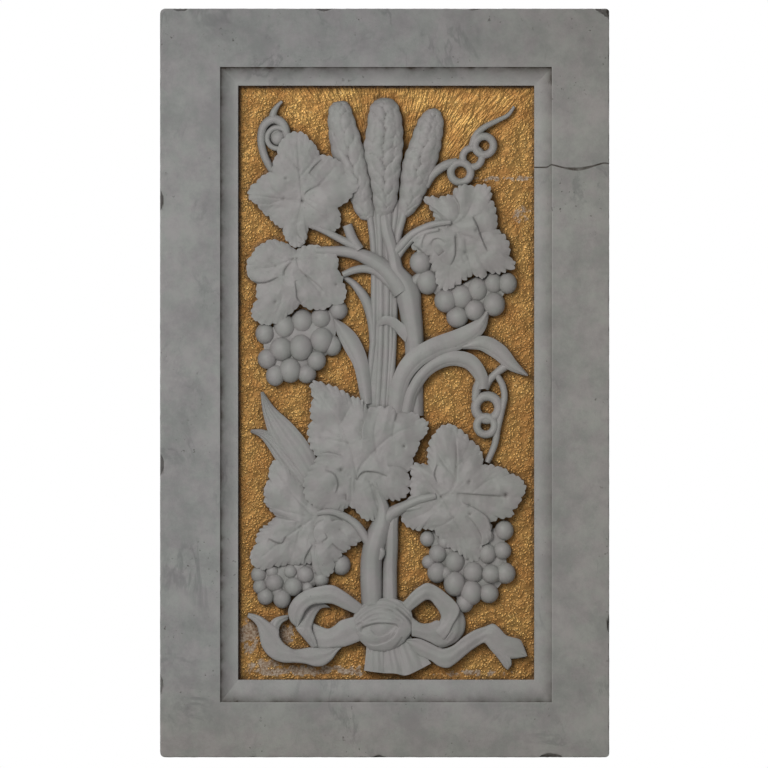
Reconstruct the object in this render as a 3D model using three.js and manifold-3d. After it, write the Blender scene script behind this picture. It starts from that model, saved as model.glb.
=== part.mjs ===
// A carved wall plaque in white marble: one block, with a plain raised border, a hollow moulding
// round a sunk field, and a relief of three wheat ears, two vines and a ribbon left standing on
// the field. Millimetres, +Z up. The front faces -Y, and the origin is the middle of the back face.
import * as THREE from "three";
import { mergeVertices } from "three/addons/utils/BufferGeometryUtils.js";
import Module from "manifold-3d";

const wasm = await Module();
wasm.setup();

// ---- Driving sizes ----
const WIDTH = 600;
const HEIGHT = 1000;
const THICKNESS = 62;
const SINK = 32; // depth of the field below the border's face
const BACK = THICKNESS - SINK; // stone left behind the field
const ROOT = -3; // how far each carved form is rooted below the field's surface
const FIELD = { left: -195.5, right: 199.6, top: 396.8, bottom: -396.2 };
const MOULDING = { left: 24, right: 23.4, top: 25, bottom: 30 }; // widths outside the field
const QUIRK = 4; // the small step at the moulding's outer edge
const SIGHT_EDGE = 19; // height of the moulding's inner edge over the field

// ---- Small tools ----

// A point that stands a height over the field.
const over = (x, z, height) => new THREE.Vector3(x, -(BACK + height), z);

// A closed mesh as a solid, from its points and triangles.
function solidFrom(points, triangles) {
  const shape = new THREE.BufferGeometry().setFromPoints(points);
  shape.setIndex(triangles);
  return solidOf(shape);
}

// A three.js geometry as a solid: shared corners are merged, and only positions are kept.
function solidOf(geometry) {
  const bare = geometry.clone();
  bare.deleteAttribute("normal");
  bare.deleteAttribute("uv");
  const merged = mergeVertices(bare, 1e-4);
  const mesh = new wasm.Mesh({
    numProp: 3,
    vertProperties: new Float32Array(merged.attributes.position.array),
    triVerts: new Uint32Array(merged.index.array),
  });
  return new wasm.Manifold(mesh);
}

// A smooth run through stations, each a list of numbers such as x, z and half a width: between two
// stations a cubic, whose slope at each end is half the step between the stations on either side.
function smooth(stations, count, closed = false) {
  const n = stations.length;
  const spans = closed ? n : n - 1;
  const at = (i) => (closed ? stations[(i + n) % n] : stations[Math.min(Math.max(i, 0), n - 1)]);
  const run = [];
  const last = closed ? count - 1 : count;
  for (let k = 0; k <= last; k++) {
    const t = (k / count) * spans;
    const i = Math.min(Math.floor(t), spans - 1);
    const f = t - i;
    run.push(
      at(i).map((b, c) => {
        const [a, p, q] = [at(i - 1)[c], at(i + 1)[c], at(i + 2)[c]];
        return b + 0.5 * f * (p - a + f * (2 * a - 5 * b + 4 * p - q + f * (3 * (b - p) + q - a)));
      }),
    );
  }
  return run;
}

// A sheet of stone over the field: rows of points that share a top surface, walled down to ROOT.
// Rows run along the form and columns from its left side to its right.
function standing(rows) {
  const high = rows.length;
  const wide = rows[0].length;
  const tops = rows.flat().map(([x, z, h]) => over(x, z, h));
  const feet = rows.flat().map(([x, z]) => over(x, z, ROOT));
  const foot = tops.length;
  const faces = [];
  const wall = (a, b) => faces.push(a, a + foot, b, b, a + foot, b + foot);
  for (let i = 0; i < high - 1; i++) {
    for (let j = 0; j < wide - 1; j++) {
      const a = i * wide + j;
      const [b, c, d] = [a + 1, a + wide, a + wide + 1];
      faces.push(a, b, d, a, d, c);
      faces.push(a + foot, d + foot, b + foot, a + foot, c + foot, d + foot);
    }
  }
  for (let j = 0; j < wide - 1; j++) {
    wall(j, j + 1);
    wall(high * wide - 1 - j, high * wide - 2 - j);
  }
  for (let i = 0; i < high - 1; i++) {
    wall((i + 1) * wide, i * wide);
    wall((i + 1) * wide - 1, (i + 2) * wide - 1);
  }
  return solidFrom([...tops, ...feet], faces);
}

// A strip along stations [x, z, half width, left height, right height], crowned by crown(across),
// where across runs from -1 at the left edge to 1 at the right.
function strip(stations, count, columns, crown) {
  const run = smooth(stations, count);
  const rows = run.map(([x, z, half, left, right], i) => {
    const [fore, aft] = [run[Math.min(i + 1, count)], run[Math.max(i - 1, 0)]];
    const length = Math.hypot(fore[0] - aft[0], fore[1] - aft[1]);
    const [dx, dz] = [(fore[0] - aft[0]) / length, (fore[1] - aft[1]) / length];
    return columns.map((u) => {
      const height = left + ((right - left) * (u + 1)) / 2 + crown(u, half, i / count);
      return [x + dz * u * half, z - dx * u * half, height];
    });
  });
  return standing(rows);
}

// A round stem: stations are [x, z, radius, top height]. Its walls rise a little before it rounds.
function stem(stations, count, columns = [-1, 0, 1]) {
  const [ROUNDING, SET_DOWN] = [0.84, 0.1];
  const lying = stations.map(([x, z, r, top]) => [x, z, r, top - r, top - r]);
  return strip(lying, count, columns, (u, r) => r * Math.sqrt(1 - u * u * ROUNDING) - r * SET_DOWN);
}

// A curl of a tendril that closes on itself: a ring round an open eye.
function ring([x, z, outer, hole, top], sides = 9) {
  const half = (outer - hole) / 2;
  const middle = (outer + hole) / 2;
  const profile = [
    [outer, ROOT],
    [outer, top - half],
    [middle, top],
    [hole, top - half],
    [hole, ROOT],
    [outer, ROOT],
  ].map(([r, h]) => new THREE.Vector2(r, h));
  const lathe = new THREE.LatheGeometry(profile, sides);
  lathe.rotateX(Math.PI);
  lathe.translate(x, -BACK, z);
  return solidOf(lathe);
}

// A berry: a round cap on a straight foot, with more sides when it is large.
function berry([x, z, size, top]) {
  const [LARGE, CAP_WIDTH, CAP_RISE] = [13, 0.78, 0.66]; // the cap's bend, as shares of the size
  const sides = size < LARGE ? 6 : 7;
  const radius = size / Math.cos(Math.PI / sides);
  const shoulder = top - size;
  const profile = [
    [0, ROOT],
    [radius, ROOT],
    [radius, shoulder],
    [radius * CAP_WIDTH, shoulder + size * CAP_RISE],
    [0, top],
  ].map(([r, h]) => new THREE.Vector2(r, h));
  const lathe = new THREE.LatheGeometry(profile, sides, x);
  lathe.rotateX(Math.PI);
  lathe.translate(x, -BACK, z);
  return solidOf(lathe);
}

// A vine leaf: its outline runs through the notches, and each span between two notches bulges out
// as a tooth. Rings shrink from there to the middle, domed and creased.
function leaf({ middle, rim, crown, outline }) {
  const [SHRINK, BULGE, CREASE, DIP] = [[1, 0.68], 0.1, 0.7, 3];
  const [mx, mz] = middle;
  const area = outline.reduce((sum, [x, z], i) => {
    const [px, pz] = outline[(i + 1) % outline.length];
    return sum + x * pz - px * z;
  }, 0);
  const notches = area < 0 ? [...outline].reverse() : outline;
  const count = notches.length * 2;
  const edge = smooth(notches, count, true).map(([x, z], i, all) => {
    if (i % 2 === 0) return [x, z];
    const [before, after] = [all[i - 1], all[(i + 1) % count]];
    return [x + (after[1] - before[1]) * BULGE, z - (after[0] - before[0]) * BULGE];
  });
  const points = [];
  const put = (part, height) =>
    edge.forEach(([x, z], i) => {
      const crease = part < 1 && part > 0.5 ? CREASE * (i % 2 ? 1 : -1) : 0;
      points.push(over(mx + (x - mx) * part, mz + (z - mz) * part, height + crease));
    });
  for (const part of SHRINK) put(part, rim + (crown - rim) * Math.sqrt(1 - part * part));
  put(1, ROOT);
  const heart = points.push(over(mx, mz, crown - DIP)) - 1;
  const foot = points.push(over(mx, mz, ROOT)) - 1;
  const faces = [];
  const RINGS = [
    [0, 1],
    [2, 0],
  ];
  for (let i = 0; i < count; i++) {
    const j = (i + 1) % count;
    for (const [outer, inner] of RINGS) {
      const [a, b] = [outer * count + i, outer * count + j];
      const [c, d] = [inner * count + i, inner * count + j];
      faces.push(a, b, d, a, d, c);
    }
    faces.push(count + i, count + j, heart);
    faces.push(2 * count + j, 2 * count + i, foot);
  }
  return solidFrom(points, faces);
}

// ---- The slab, with its border, moulding and sunk field ----

// The block: a rectangle with its four corners worn round, each by its own radius.
function slab() {
  const [w, h] = [WIDTH / 2, HEIGHT / 2];
  const CORNERS = { lowerRight: 5.5, upperRight: 4.5, upperLeft: 7, lowerLeft: 7 }; // radii
  const outline = new THREE.Shape();
  const { lowerRight, upperRight, upperLeft, lowerLeft } = CORNERS;
  outline.absarc(w - lowerRight, lowerRight - h, lowerRight, -Math.PI / 2, 0);
  outline.absarc(w - upperRight, h - upperRight, upperRight, 0, Math.PI / 2);
  outline.absarc(upperLeft - w, h - upperLeft, upperLeft, Math.PI / 2, Math.PI);
  outline.absarc(lowerLeft - w, lowerLeft - h, lowerLeft, Math.PI, Math.PI * 1.5);
  const block = new THREE.ExtrudeGeometry(outline, {
    depth: THICKNESS,
    bevelEnabled: false,
    curveSegments: 4,
  });
  block.rotateX(Math.PI / 2);
  return solidOf(block);
}

// What is cut away inside the border: mitred frames that step in and down to the field.
function sunkField() {
  const CLEAR = 6; // the cutter stands clear of the face
  const HOLLOW_STEPS = 4;
  const frames = [
    [1, SINK + CLEAR],
    [1, SINK - QUIRK],
  ];
  for (let k = 1; k <= HOLLOW_STEPS; k++) {
    const part = k / HOLLOW_STEPS;
    const fall = Math.sin((part * Math.PI) / 2);
    frames.push([1 - part, SINK - QUIRK - (SINK - QUIRK - SIGHT_EDGE) * fall]);
  }
  frames.push([0, 0]);
  const points = frames.flatMap(([out, height]) => {
    const left = FIELD.left - MOULDING.left * out;
    const right = FIELD.right + MOULDING.right * out;
    const bottom = FIELD.bottom - MOULDING.bottom * out;
    const top = FIELD.top + MOULDING.top * out;
    return [
      over(left, bottom, height),
      over(right, bottom, height),
      over(right, top, height),
      over(left, top, height),
    ];
  });
  const faces = [0, 1, 2, 0, 2, 3];
  const last = (frames.length - 1) * 4;
  faces.push(last, last + 2, last + 1, last, last + 3, last + 2);
  for (let k = 0; k < frames.length - 1; k++) {
    for (let i = 0; i < 4; i++) {
      const [a, b] = [k * 4 + i, k * 4 + ((i + 1) % 4)];
      faces.push(a, a + 4, b + 4, a, b + 4, b);
    }
  }
  return solidFrom(points, faces);
}

// A turned block that knocks a flake off an edge: its middle, its size and its turn.
function flake([x, height, z], [sx, sy, sz], [rx, ry, rz]) {
  const block = new THREE.BoxGeometry(sx, sy, sz);
  block.rotateX(rx);
  block.rotateY(ry);
  block.rotateZ(rz);
  block.translate(x, -height, z);
  return solidOf(block);
}

// The mended crack across the right border: a shallow groove with sloping sides.
function crack() {
  const DEPTH = 1.5;
  const line = [
    [215, 288, 1.2],
    [223, 290, 1.4],
    [238, 289, 1.6],
    [254, 286, 2.2],
    [275, 289, 1.6],
    [292, 293, 1.3],
    [304, 292, 1.3],
  ];
  const points = [];
  for (const [x, z, half] of line) {
    points.push(new THREE.Vector3(x, -THICKNESS - 2, z + half * 2));
    points.push(new THREE.Vector3(x, -THICKNESS - 2, z - half * 2));
    points.push(new THREE.Vector3(x, -THICKNESS + DEPTH, z));
  }
  const faces = [0, 2, 1];
  const end = (line.length - 1) * 3;
  faces.push(end, end + 1, end + 2);
  for (let k = 0; k < end; k += 3) {
    for (const [a, b] of [
      [0, 1],
      [1, 2],
      [2, 0],
    ]) {
      faces.push(k + a, k + b, k + b + 3, k + a, k + b + 3, k + a + 3);
    }
  }
  return solidFrom(points, faces);
}

// ---- The wheat: three ears, their straws and the band round them ----

const ROUND = [-1, -0.7, 0, 0.7, 1];

// An ear is a swelling strip with two plaited rows of grains that meet in a zigzag.
function ear(stations) {
  const [GRAINS, GRAIN_HEIGHT, SWELL, ROUNDING] = [6, 2.4, 0.5, 0.96];
  return strip(stations, GRAINS * 2, ROUND, (u, half, along) => {
    const swell = half * SWELL * Math.sqrt(1 - u * u * ROUNDING);
    const place = along * GRAINS + (u < 0 ? 0.5 : 0) + Math.abs(u) * 0.5;
    const grain = Math.abs(u) < 1 ? GRAIN_HEIGHT * Math.abs(Math.sin(Math.PI * place)) : 0;
    return swell + grain;
  });
}

const EARS = [
  [
    [-20, 216, 9, 10, 11],
    [-30, 245, 15, 9, 11],
    [-42, 290, 18, 9, 11],
    [-55, 335, 20, 9, 11],
    [-59, 360, 17, 8, 9],
    [-60, 375, 7, 8, 9],
  ],
  [
    [26, 214, 9, 10, 10],
    [34, 245, 17, 11, 9],
    [44, 285, 23, 11, 9],
    [54, 325, 20, 11, 9],
    [61, 352, 14, 9, 8],
    [64, 367, 6, 8, 8],
  ],
  [
    [-2, 218, 10, 13, 13],
    [-2, 245, 15, 14, 14],
    [0, 285, 23, 15, 15],
    [0, 330, 24, 15, 15],
    [-2, 365, 19, 13, 13],
    [-3, 384, 8, 11, 11],
  ],
];

const STRAWS = [
  [
    [-19, 226, 4.5, 13],
    [-15, 180, 4.5, 13],
    [-14, 120, 4.5, 13],
    [-16, 50, 4.5, 14],
    [-25, -30, 5, 13],
  ],
  [
    [-8, 226, 4.5, 14],
    [-6, 180, 4.5, 14],
    [-5, 100, 4.5, 14],
    [-6, 40, 4.5, 15],
    [-10, -36, 5, 14],
  ],
  [
    [5, 226, 5.5, 14],
    [4, 180, 5.5, 15],
    [3, 100, 4.5, 15],
    [2, 40, 4.5, 15],
    [-2, -36, 5, 14],
  ],
  [
    [24, 222, 5, 13],
    [17, 190, 5, 14],
    [14, 130, 4, 12],
    [13, 80, 4, 12],
    [10, 20, 4.5, 14],
    [6, -36, 5, 13],
  ],
  [
    [14, 224, 4, 12],
    [9, 180, 4, 12],
    [8, 100, 4, 13],
    [8, 40, 4, 14],
    [2, -36, 5, 13],
  ],
];

const BAND = [
  [-13, 70, 5, 15, 14],
  [-1, 82, 6, 18, 17],
  [14, 80, 6, 18, 17],
  [27, 68, 5, 19, 17],
  [35, 54, 3, 18, 16],
];

// ---- The vines: trunks, branches, leafstalks and curling tendrils ----

const TRUNKS = [
  [
    [40, -44, 12, 17],
    [39, 0, 13, 20],
    [38, 50, 14, 24],
    [36, 95, 14, 26],
    [33, 125, 15, 27],
    [24, 155, 13, 26],
    [14, 180, 9, 22],
    [8, 205, 6, 17],
  ],
  [
    [-15.5, -292, 12.5, 24],
    [-15.5, -250, 12.5, 25],
    [-11, -220, 13.5, 26],
    [-6, -195, 13, 25],
    [-3, -172, 9, 22],
    [-8, -150, 7, 19],
  ],
  [
    [7, -292, 10, 21],
    [7, -240, 9, 20],
    [13, -200, 9, 20],
    [16, -176, 9, 20],
  ],
];

const BRANCHES = [
  [
    [30, 130, 11, 24],
    [8, 154, 12, 25],
    [-12, 168, 12, 24],
    [-36, 178, 8, 21],
    [-60, 177, 6, 19],
    [-92, 177, 5, 20],
  ],
  [
    [-34, 180, 6, 21],
    [-55, 190, 5, 20],
    [-78, 202, 4.5, 20],
    [-97, 211, 4.5, 21],
  ],
  [
    [-34, 178, 7, 21],
    [-43, 192, 7, 20],
    [-50, 211, 6.5, 19],
  ],
  [
    [22, 132, 8, 21],
    [0, 145, 6, 19],
    [-24, 151, 5.5, 18],
    [-44, 150, 5, 18],
    [-58, 145, 4, 18],
  ],
  [
    [-56, 142, 3, 12],
    [-40, 131, 5, 13],
    [-24, 108, 7, 14],
    [-17, 80, 6, 14],
    [-15, 50, 5, 14],
  ],
  [
    [12, 178, 6, 19],
    [26, 194, 6, 19],
    [44, 205, 5, 19],
    [68, 212, 4.5, 22],
  ],
  [
    [16, 168, 5, 18],
    [28, 184, 4, 18],
    [46, 196, 4, 19],
    [60, 200, 3.5, 21],
  ],
  [
    [28, 128, 6, 17],
    [40, 140, 5, 15],
    [50, 148, 4, 14],
  ],
  [
    [-18, -214, 7, 20],
    [-32, -194, 6, 21],
    [-52, -177, 5, 23],
    [-72, -171, 4.5, 23],
    [-90, -172, 4, 24],
  ],
  [
    [-2, -176, 9, 22],
    [16, -169, 8, 23],
    [36, -158, 6, 24],
    [66, -150, 5, 26],
  ],
];

const TENDRILS = [
  [
    [-150, 285, 5, 15],
    [-161, 305, 5, 15],
    [-164, 325, 5, 15],
    [-160, 342, 5.5, 15],
    [-147, 350, 6, 15],
    [-135, 344, 5.5, 15],
    [-131, 328, 5, 14],
    [-137, 316, 5, 14],
  ],
  [
    [-148, 352, 5, 14],
    [-145, 364, 4, 13],
    [-136, 374, 2.5, 12],
  ],
  [
    [60, 270, 5, 14],
    [72, 288, 4.5, 15],
    [88, 297, 4.5, 15],
  ],
  [
    [92, 302, 4, 15],
    [102, 314, 4, 15],
    [112, 318, 4, 14],
  ],
  [
    [115, 321, 4, 14],
    [120, 333, 4, 15],
    [132, 344, 3.5, 14],
    [152, 352, 3, 13],
    [166, 358, 2.5, 12],
    [173, 368, 2, 11],
  ],
  [
    [163, 24, 6, 16],
    [150, 14, 5, 15],
    [140, 4, 5, 15],
    [136, -6, 5, 14],
  ],
  [
    [128, 4, 6, 16],
    [124, -8, 6, 15],
    [122, -22, 5, 14],
  ],
  [
    [150, 10, 4, 14],
    [157, -2, 4.5, 14],
    [159, -18, 4.5, 14],
    [155, -34, 4.5, 14],
  ],
  [
    [151, -60, 4, 13],
    [147, -82, 3.5, 13],
    [137, -106, 3.5, 13],
  ],
];

const CURLS = [
  [101.5, 281, 18.5, 8, 16],
  [117, 301, 17.5, 8, 15],
  [133, 317, 17.5, 7, 16],
  [-148, 327, 14, 6, 16],
  [137, -33, 20, 9, 15],
  [135, -57, 17, 6.5, 16],
];

// ---- The long blades, two-edged strips with a ridge along the middle ----

const BLADES = [
  [
    [-67, 85, 2, 12, 12],
    [-56, 70, 9, 13, 13],
    [-44, 52, 12, 14, 14],
    [-31, 22, 10, 14, 14],
    [-24, -28, 7, 13, 13],
  ],
  [
    [14, -36, 9, 13, 13],
    [22, 6, 10, 14, 14],
    [40, 33, 11, 16, 15],
    [70, 50, 12, 17, 16],
    [102, 60, 13, 17, 16],
    [126, 76, 10, 16, 15],
    [138, 97, 2, 14, 14],
  ],
  [
    [28, -38, 6, 13, 10],
    [35, -8, 6, 15, 12],
    [56, 20, 7, 17, 13],
    [85, 33, 9, 17, 13],
    [112, 29, 10, 17, 13],
    [128, 10, 9, 16, 13],
    [131, -8, 7, 14, 13],
  ],
  [
    [104, 48, 3, 14, 14],
    [130, 53, 10, 17, 16],
    [152, 42, 11, 17, 16],
    [170, 24, 8, 15, 14],
    [191, 10, 1.5, 12, 12],
  ],
  [
    [-164, -12, 2, 11, 11],
    [-154, -38, 9, 13, 13],
    [-137, -66, 18, 14, 14],
    [-116, -98, 21, 15, 15],
    [-98, -130, 16, 15, 15],
  ],
  [
    [-179, -64, 2, 11, 11],
    [-163, -68, 6, 12, 12],
    [-148, -80, 10, 13, 13],
    [-128, -104, 14, 14, 14],
    [-106, -132, 12, 14, 14],
  ],
];

// ---- The leaves, their outlines read round from the top ----

const LEAVES = [
  {
    middle: [-112, 250],
    rim: 19,
    crown: 26,
    outline: [
      [-116, 335], [-100, 325], [-86, 305], [-68, 300], [-50, 283], [-36, 266], [-42, 252],
      [-62, 234], [-59, 222], [-64, 205], [-82, 205], [-101, 206], [-106, 190], [-117, 181],
      [-129, 188], [-137, 206], [-155, 222], [-170, 238], [-182, 251], [-172, 268], [-152, 283],
      [-144, 306], [-133, 328],
    ],
  },
  {
    middle: [-116, 140],
    rim: 19,
    crown: 26,
    outline: [
      [-104, 184], [-118, 178], [-140, 189], [-160, 188], [-178, 170], [-184, 158], [-180, 140],
      [-171, 132], [-171, 112], [-178, 93], [-170, 82], [-150, 79], [-130, 90], [-113, 104],
      [-95, 98], [-70, 104], [-54, 110], [-55, 134], [-63, 152], [-63, 168], [-74, 177],
    ],
  },
  {
    middle: [108, 200],
    rim: 19,
    crown: 27,
    outline: [
      [52, 247], [72, 248], [90, 252], [97, 262], [120, 263], [138, 263], [143, 245], [149, 226],
      [150, 206], [163, 192], [167, 170], [174, 157], [163, 150], [148, 146], [137, 148],
      [132, 140], [118, 144], [104, 136], [94, 130], [76, 125], [67, 148], [58, 168], [42, 176],
      [38, 188], [66, 212], [64, 228], [58, 238],
    ],
  },
  {
    middle: [-28, -95],
    rim: 20,
    crown: 28,
    outline: [
      [-97, 1], [-78, -2], [-60, -9], [-45, -18], [-32, -22], [-22, -33], [0, -32], [12, -32],
      [25, -37], [48, -46], [58, -58], [47, -78], [38, -100], [36, -112], [31, -120], [33, -140],
      [22, -155], [6, -156], [-3, -155], [-8, -174], [-20, -184], [-40, -169], [-48, -165],
      [-62, -172], [-84, -170], [-97, -163], [-108, -140], [-98, -115], [-92, -98], [-102, -72],
      [-98, -50], [-96, -20],
    ],
  },
  {
    middle: [-105, -190],
    rim: 17,
    crown: 25,
    outline: [
      [-145, -103], [-155, -128], [-160, -152], [-150, -172], [-148, -182], [-165, -196],
      [-174, -225], [-180, -240], [-160, -247], [-130, -243], [-106, -242], [-92, -254],
      [-76, -263], [-68, -245], [-52, -222], [-36, -214], [-29, -203], [-45, -185], [-70, -170],
      [-95, -155], [-120, -125],
    ],
  },
  {
    middle: [92, -145],
    rim: 19,
    crown: 28,
    outline: [
      [57, -108], [59, -84], [68, -66], [82, -56], [98, -61], [114, -76], [128, -90],
      [132, -108], [148, -111], [168, -121], [187, -135], [183, -153], [172, -170], [171, -177],
      [152, -183], [143, -200], [130, -222], [118, -238], [100, -222], [80, -205], [60, -198],
      [44, -197], [22, -179], [34, -150], [36, -125], [38, -108],
    ],
  },
];

// ---- The bunches of grapes: x, z, radius and top of each berry ----

const GRAPES = [
  [-134, 75, 14, 20], [-110, 82, 15, 19], [-85, 86, 13.5, 19], [-62, 97, 12, 18],
  [-160, 66, 12, 20], [-138, 45, 15, 25], [-112, 47, 15, 27], [-84, 57, 15, 25],
  [-157, 32, 12, 22], [-91, 30, 12, 23], [-126, 17, 14, 25], [-146, 10, 12, 22],
  [-104, 12, 12, 22], [-70, 50, 12, 19],
  [48, 161, 14, 25], [57, 135, 14, 23], [82, 110, 15, 24], [102, 115, 16, 22],
  [124, 125, 14, 20], [145, 133, 13, 19], [164, 133, 12, 21], [146, 105, 14, 24],
  [120, 97, 13, 24], [97, 88, 14, 23],
  [-150, -267, 14, 23], [-105, -255, 13, 18], [-128, -250, 8, 17], [-124, -270, 12, 23],
  [-84, -262, 11, 17], [-60, -243, 12, 17], [-163, -283, 11, 20], [-138, -290, 11, 21],
  [-168, -255, 10, 18], [-100, -275, 7, 18],
  [57, -205, 10, 19], [68, -222, 13, 22], [70, -250, 14, 24], [92, -238, 14, 22],
  [92, -268, 16, 27], [118, -253, 15, 26], [138, -228, 13, 22], [160, -222, 13, 23],
  [141, -255, 13, 26], [162, -255, 14, 23], [118, -282, 15, 26], [139, -282, 12, 23],
  [157, -195, 14, 19], [103, -293, 10, 20],
];

// ---- The ribbon: its bow, the knot, the tails and the cut ends of the sheaf ----

const RIBBONS = [
  [
    [-36, -305, 9, 20, 22],
    [-62, -284, 12, 21, 24],
    [-95, -285, 11, 22, 22],
    [-118, -300, 11, 24, 20],
    [-118, -322, 11, 22, 18],
    [-104, -345, 8, 18, 16],
  ],
  [
    [-76, -300, 6, 15, 12],
    [-94, -306, 8, 16, 12],
    [-97, -325, 7, 15, 12],
    [-88, -345, 6, 14, 12],
  ],
  [
    [-36, -330, 9, 20, 18],
    [-58, -336, 10, 20, 18],
    [-78, -344, 10, 18, 16],
    [-92, -352, 9, 16, 14],
  ],
  [
    [-62, -347, 8, 18, 15],
    [-86, -363, 14, 19, 16],
    [-112, -365, 11, 20, 18],
    [-137, -360, 12, 21, 20],
    [-152, -344, 12, 21, 20],
    [-157, -327, 11, 20, 19],
    [-170, -315, 7, 17, 16],
    [-183, -311, 1.5, 14, 14],
  ],
  [
    [-152, -330, 6, 18, 16],
    [-146, -318, 5, 16, 15],
    [-130, -309, 1.5, 13, 13],
  ],
  [
    [28, -308, 9, 22, 20],
    [46, -288, 11, 24, 21],
    [64, -278, 10, 24, 22],
    [86, -292, 11, 23, 22],
    [99, -312, 9, 21, 18],
    [100, -340, 6, 16, 13],
  ],
  [
    [34, -330, 9, 20, 18],
    [58, -332, 12, 20, 18],
    [82, -336, 12, 18, 16],
    [100, -337, 8, 16, 14],
  ],
  [
    [66, -290, 7, 12, 14],
    [78, -308, 8, 11, 15],
    [86, -328, 8, 11, 15],
  ],
  [
    [34, -348, 8, 16, 14],
    [58, -358, 11, 19, 16],
    [80, -367, 12, 20, 17],
    [104, -354, 12, 20, 18],
    [128, -338, 11, 20, 18],
    [148, -335, 11, 19, 17],
    [166, -352, 12, 18, 16],
    [186, -360, 4, 15, 14],
  ],
  [
    [152, -340, 6, 17, 15],
    [160, -362, 7, 16, 14],
    [164, -381, 2, 13, 13],
  ],
];

const KNOT = [
  [-40, -312, 6, 20, 20],
  [-26, -316, 17, 22, 22],
  [-6, -318, 27, 24, 24],
  [14, -318, 27, 24, 24],
  [30, -320, 19, 22, 22],
  [39, -322, 8, 20, 20],
];

const SHEAF_ENDS = 6; // cut straws below the knot
const SHEAF = { left: -23, right: 52, top: -345, bottom: -387, spread: 1.25 };

function sheafEnds() {
  return Array.from({ length: SHEAF_ENDS }, (_, k) => {
    const part = k / (SHEAF_ENDS - 1);
    const x = SHEAF.left + (SHEAF.right - SHEAF.left) * part;
    const top = [x / SHEAF.spread, SHEAF.top, 7, 15];
    const low = [x, SHEAF.bottom + 8 * Math.max(0, part - 0.6), 7, 16 + (k % 2)];
    return stem([top, low], 1);
  });
}

// ---- The one stone: the slab, its relief and its losses ----

const RIDGED = [-1, -0.5, 0, 0.5, 1];
const [RIBBON_CROWN, BLADE_RIDGE, KNOT_CROWN] = [2, 4, 5]; // rise of the middle over the edges
const crowned = (rise) => (u) => rise * (1 - u * u);
const relief = [
  ...EARS.map((stations) => ear(stations)),
  ...STRAWS.map((stations) => stem(stations, 4)),
  strip(BAND, 5, [-1, 0, 1], crowned(RIBBON_CROWN)),
  ...TRUNKS.map((stations) => stem(stations, 7, RIDGED)),
  ...BRANCHES.map((stations) => stem(stations, 5)),
  ...TENDRILS.map((stations) => stem(stations, 2 * stations.length - 3)),
  ...CURLS.map((curl) => ring(curl)),
  ...BLADES.map((stations) => strip(stations, 6, RIDGED, (u) => BLADE_RIDGE * (1 - Math.abs(u)))),
  ...LEAVES.map((shape) => leaf(shape)),
  ...GRAPES.map((grape) => berry(grape)),
  ...RIBBONS.map((stations) => strip(stations, 8, [-1, 0, 1], crowned(RIBBON_CROWN))),
  strip(KNOT, 7, RIDGED, crowned(KNOT_CROWN)),
  ...sheafEnds(),
];

const LOSSES = [
  flake([300, THICKNESS, 502], [30, 16, 10], [0.5, 0.62, 0]),
  flake([225, THICKNESS + 2, -503], [24, 14, 9], [-0.5, 0.18, 0]),
  flake([-272, THICKNESS, 502], [10, 7, 6], [0.6, 0.1, 0]),
  flake([-82, THICKNESS, 502], [14, 6, 6], [0.6, -0.1, 0]),
  crack(),
];

let stone = slab().subtract(sunkField());
for (const form of relief) stone = stone.add(form);
for (const loss of LOSSES) stone = stone.subtract(loss);

const SLIVER = 0.1; // joins leave slivers finer than a chisel cuts, and these are merged
const bodies = stone.simplify(SLIVER).decompose();
const carved = bodies.reduce((a, b) => (a.volume() > b.volume() ? a : b)).getMesh();
const shape = new THREE.BufferGeometry();
shape.setAttribute("position", new THREE.BufferAttribute(carved.vertProperties, 3));
shape.setIndex(new THREE.BufferAttribute(carved.triVerts, 1));

const marble = new THREE.MeshStandardMaterial({ color: 0xd9d6d0, roughness: 0.5, metalness: 0 });
const plaque = new THREE.Mesh(shape, marble);
plaque.name = "plaque";

const part = new THREE.Group();
part.add(plaque);
export default part;
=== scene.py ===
"""The looks of a carved marble wall plaque: a plain border, a hollow moulding and a gilded, punched
field with wheat ears, two vines and a ribbon left standing on it. Lengths below are millimetres."""
import math

import bpy
import numpy as np
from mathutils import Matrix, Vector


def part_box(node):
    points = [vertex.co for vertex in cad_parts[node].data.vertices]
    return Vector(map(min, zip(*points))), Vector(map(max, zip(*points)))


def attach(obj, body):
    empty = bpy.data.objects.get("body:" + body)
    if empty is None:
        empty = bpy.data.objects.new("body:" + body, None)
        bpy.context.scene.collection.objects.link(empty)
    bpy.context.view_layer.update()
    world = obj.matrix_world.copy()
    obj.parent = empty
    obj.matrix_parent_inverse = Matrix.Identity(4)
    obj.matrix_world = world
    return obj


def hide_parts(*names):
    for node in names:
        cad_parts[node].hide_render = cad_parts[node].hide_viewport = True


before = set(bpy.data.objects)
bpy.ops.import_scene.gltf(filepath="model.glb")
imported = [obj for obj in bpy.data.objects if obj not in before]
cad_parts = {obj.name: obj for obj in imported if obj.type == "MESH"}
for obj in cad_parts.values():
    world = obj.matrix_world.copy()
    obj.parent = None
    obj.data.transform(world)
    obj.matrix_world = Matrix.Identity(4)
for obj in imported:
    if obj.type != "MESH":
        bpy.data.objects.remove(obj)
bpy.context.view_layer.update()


# ======== The slab ========
# One block of white marble with soft grey veins. Its border is rubbed smooth, a hollow moulding steps
# down to the sunk field, and wear has rounded the arrises, broken a corner and opened a crack. It is
# drawn as one skin of closed loops, from the back's middle over the walls and the face to the field.
MM = 0.001
low, high = (np.array(corner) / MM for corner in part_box("plaque"))
SINK = 32.0  # depth of the field below the border's face
BACK = -low[1] - SINK  # stone behind the field
ROOT = -3.0  # every carved form is rooted this far below the field
FIELD = np.array([-195.5, -396.2, 199.6, 396.8])  # left, bottom, right, top
MOULDING = np.array([-24.0, -30.0, 23.4, 25.0])  # how far the moulding reaches out from the field
EDGE = np.array([low[0], low[2], high[0], high[2]])
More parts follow.
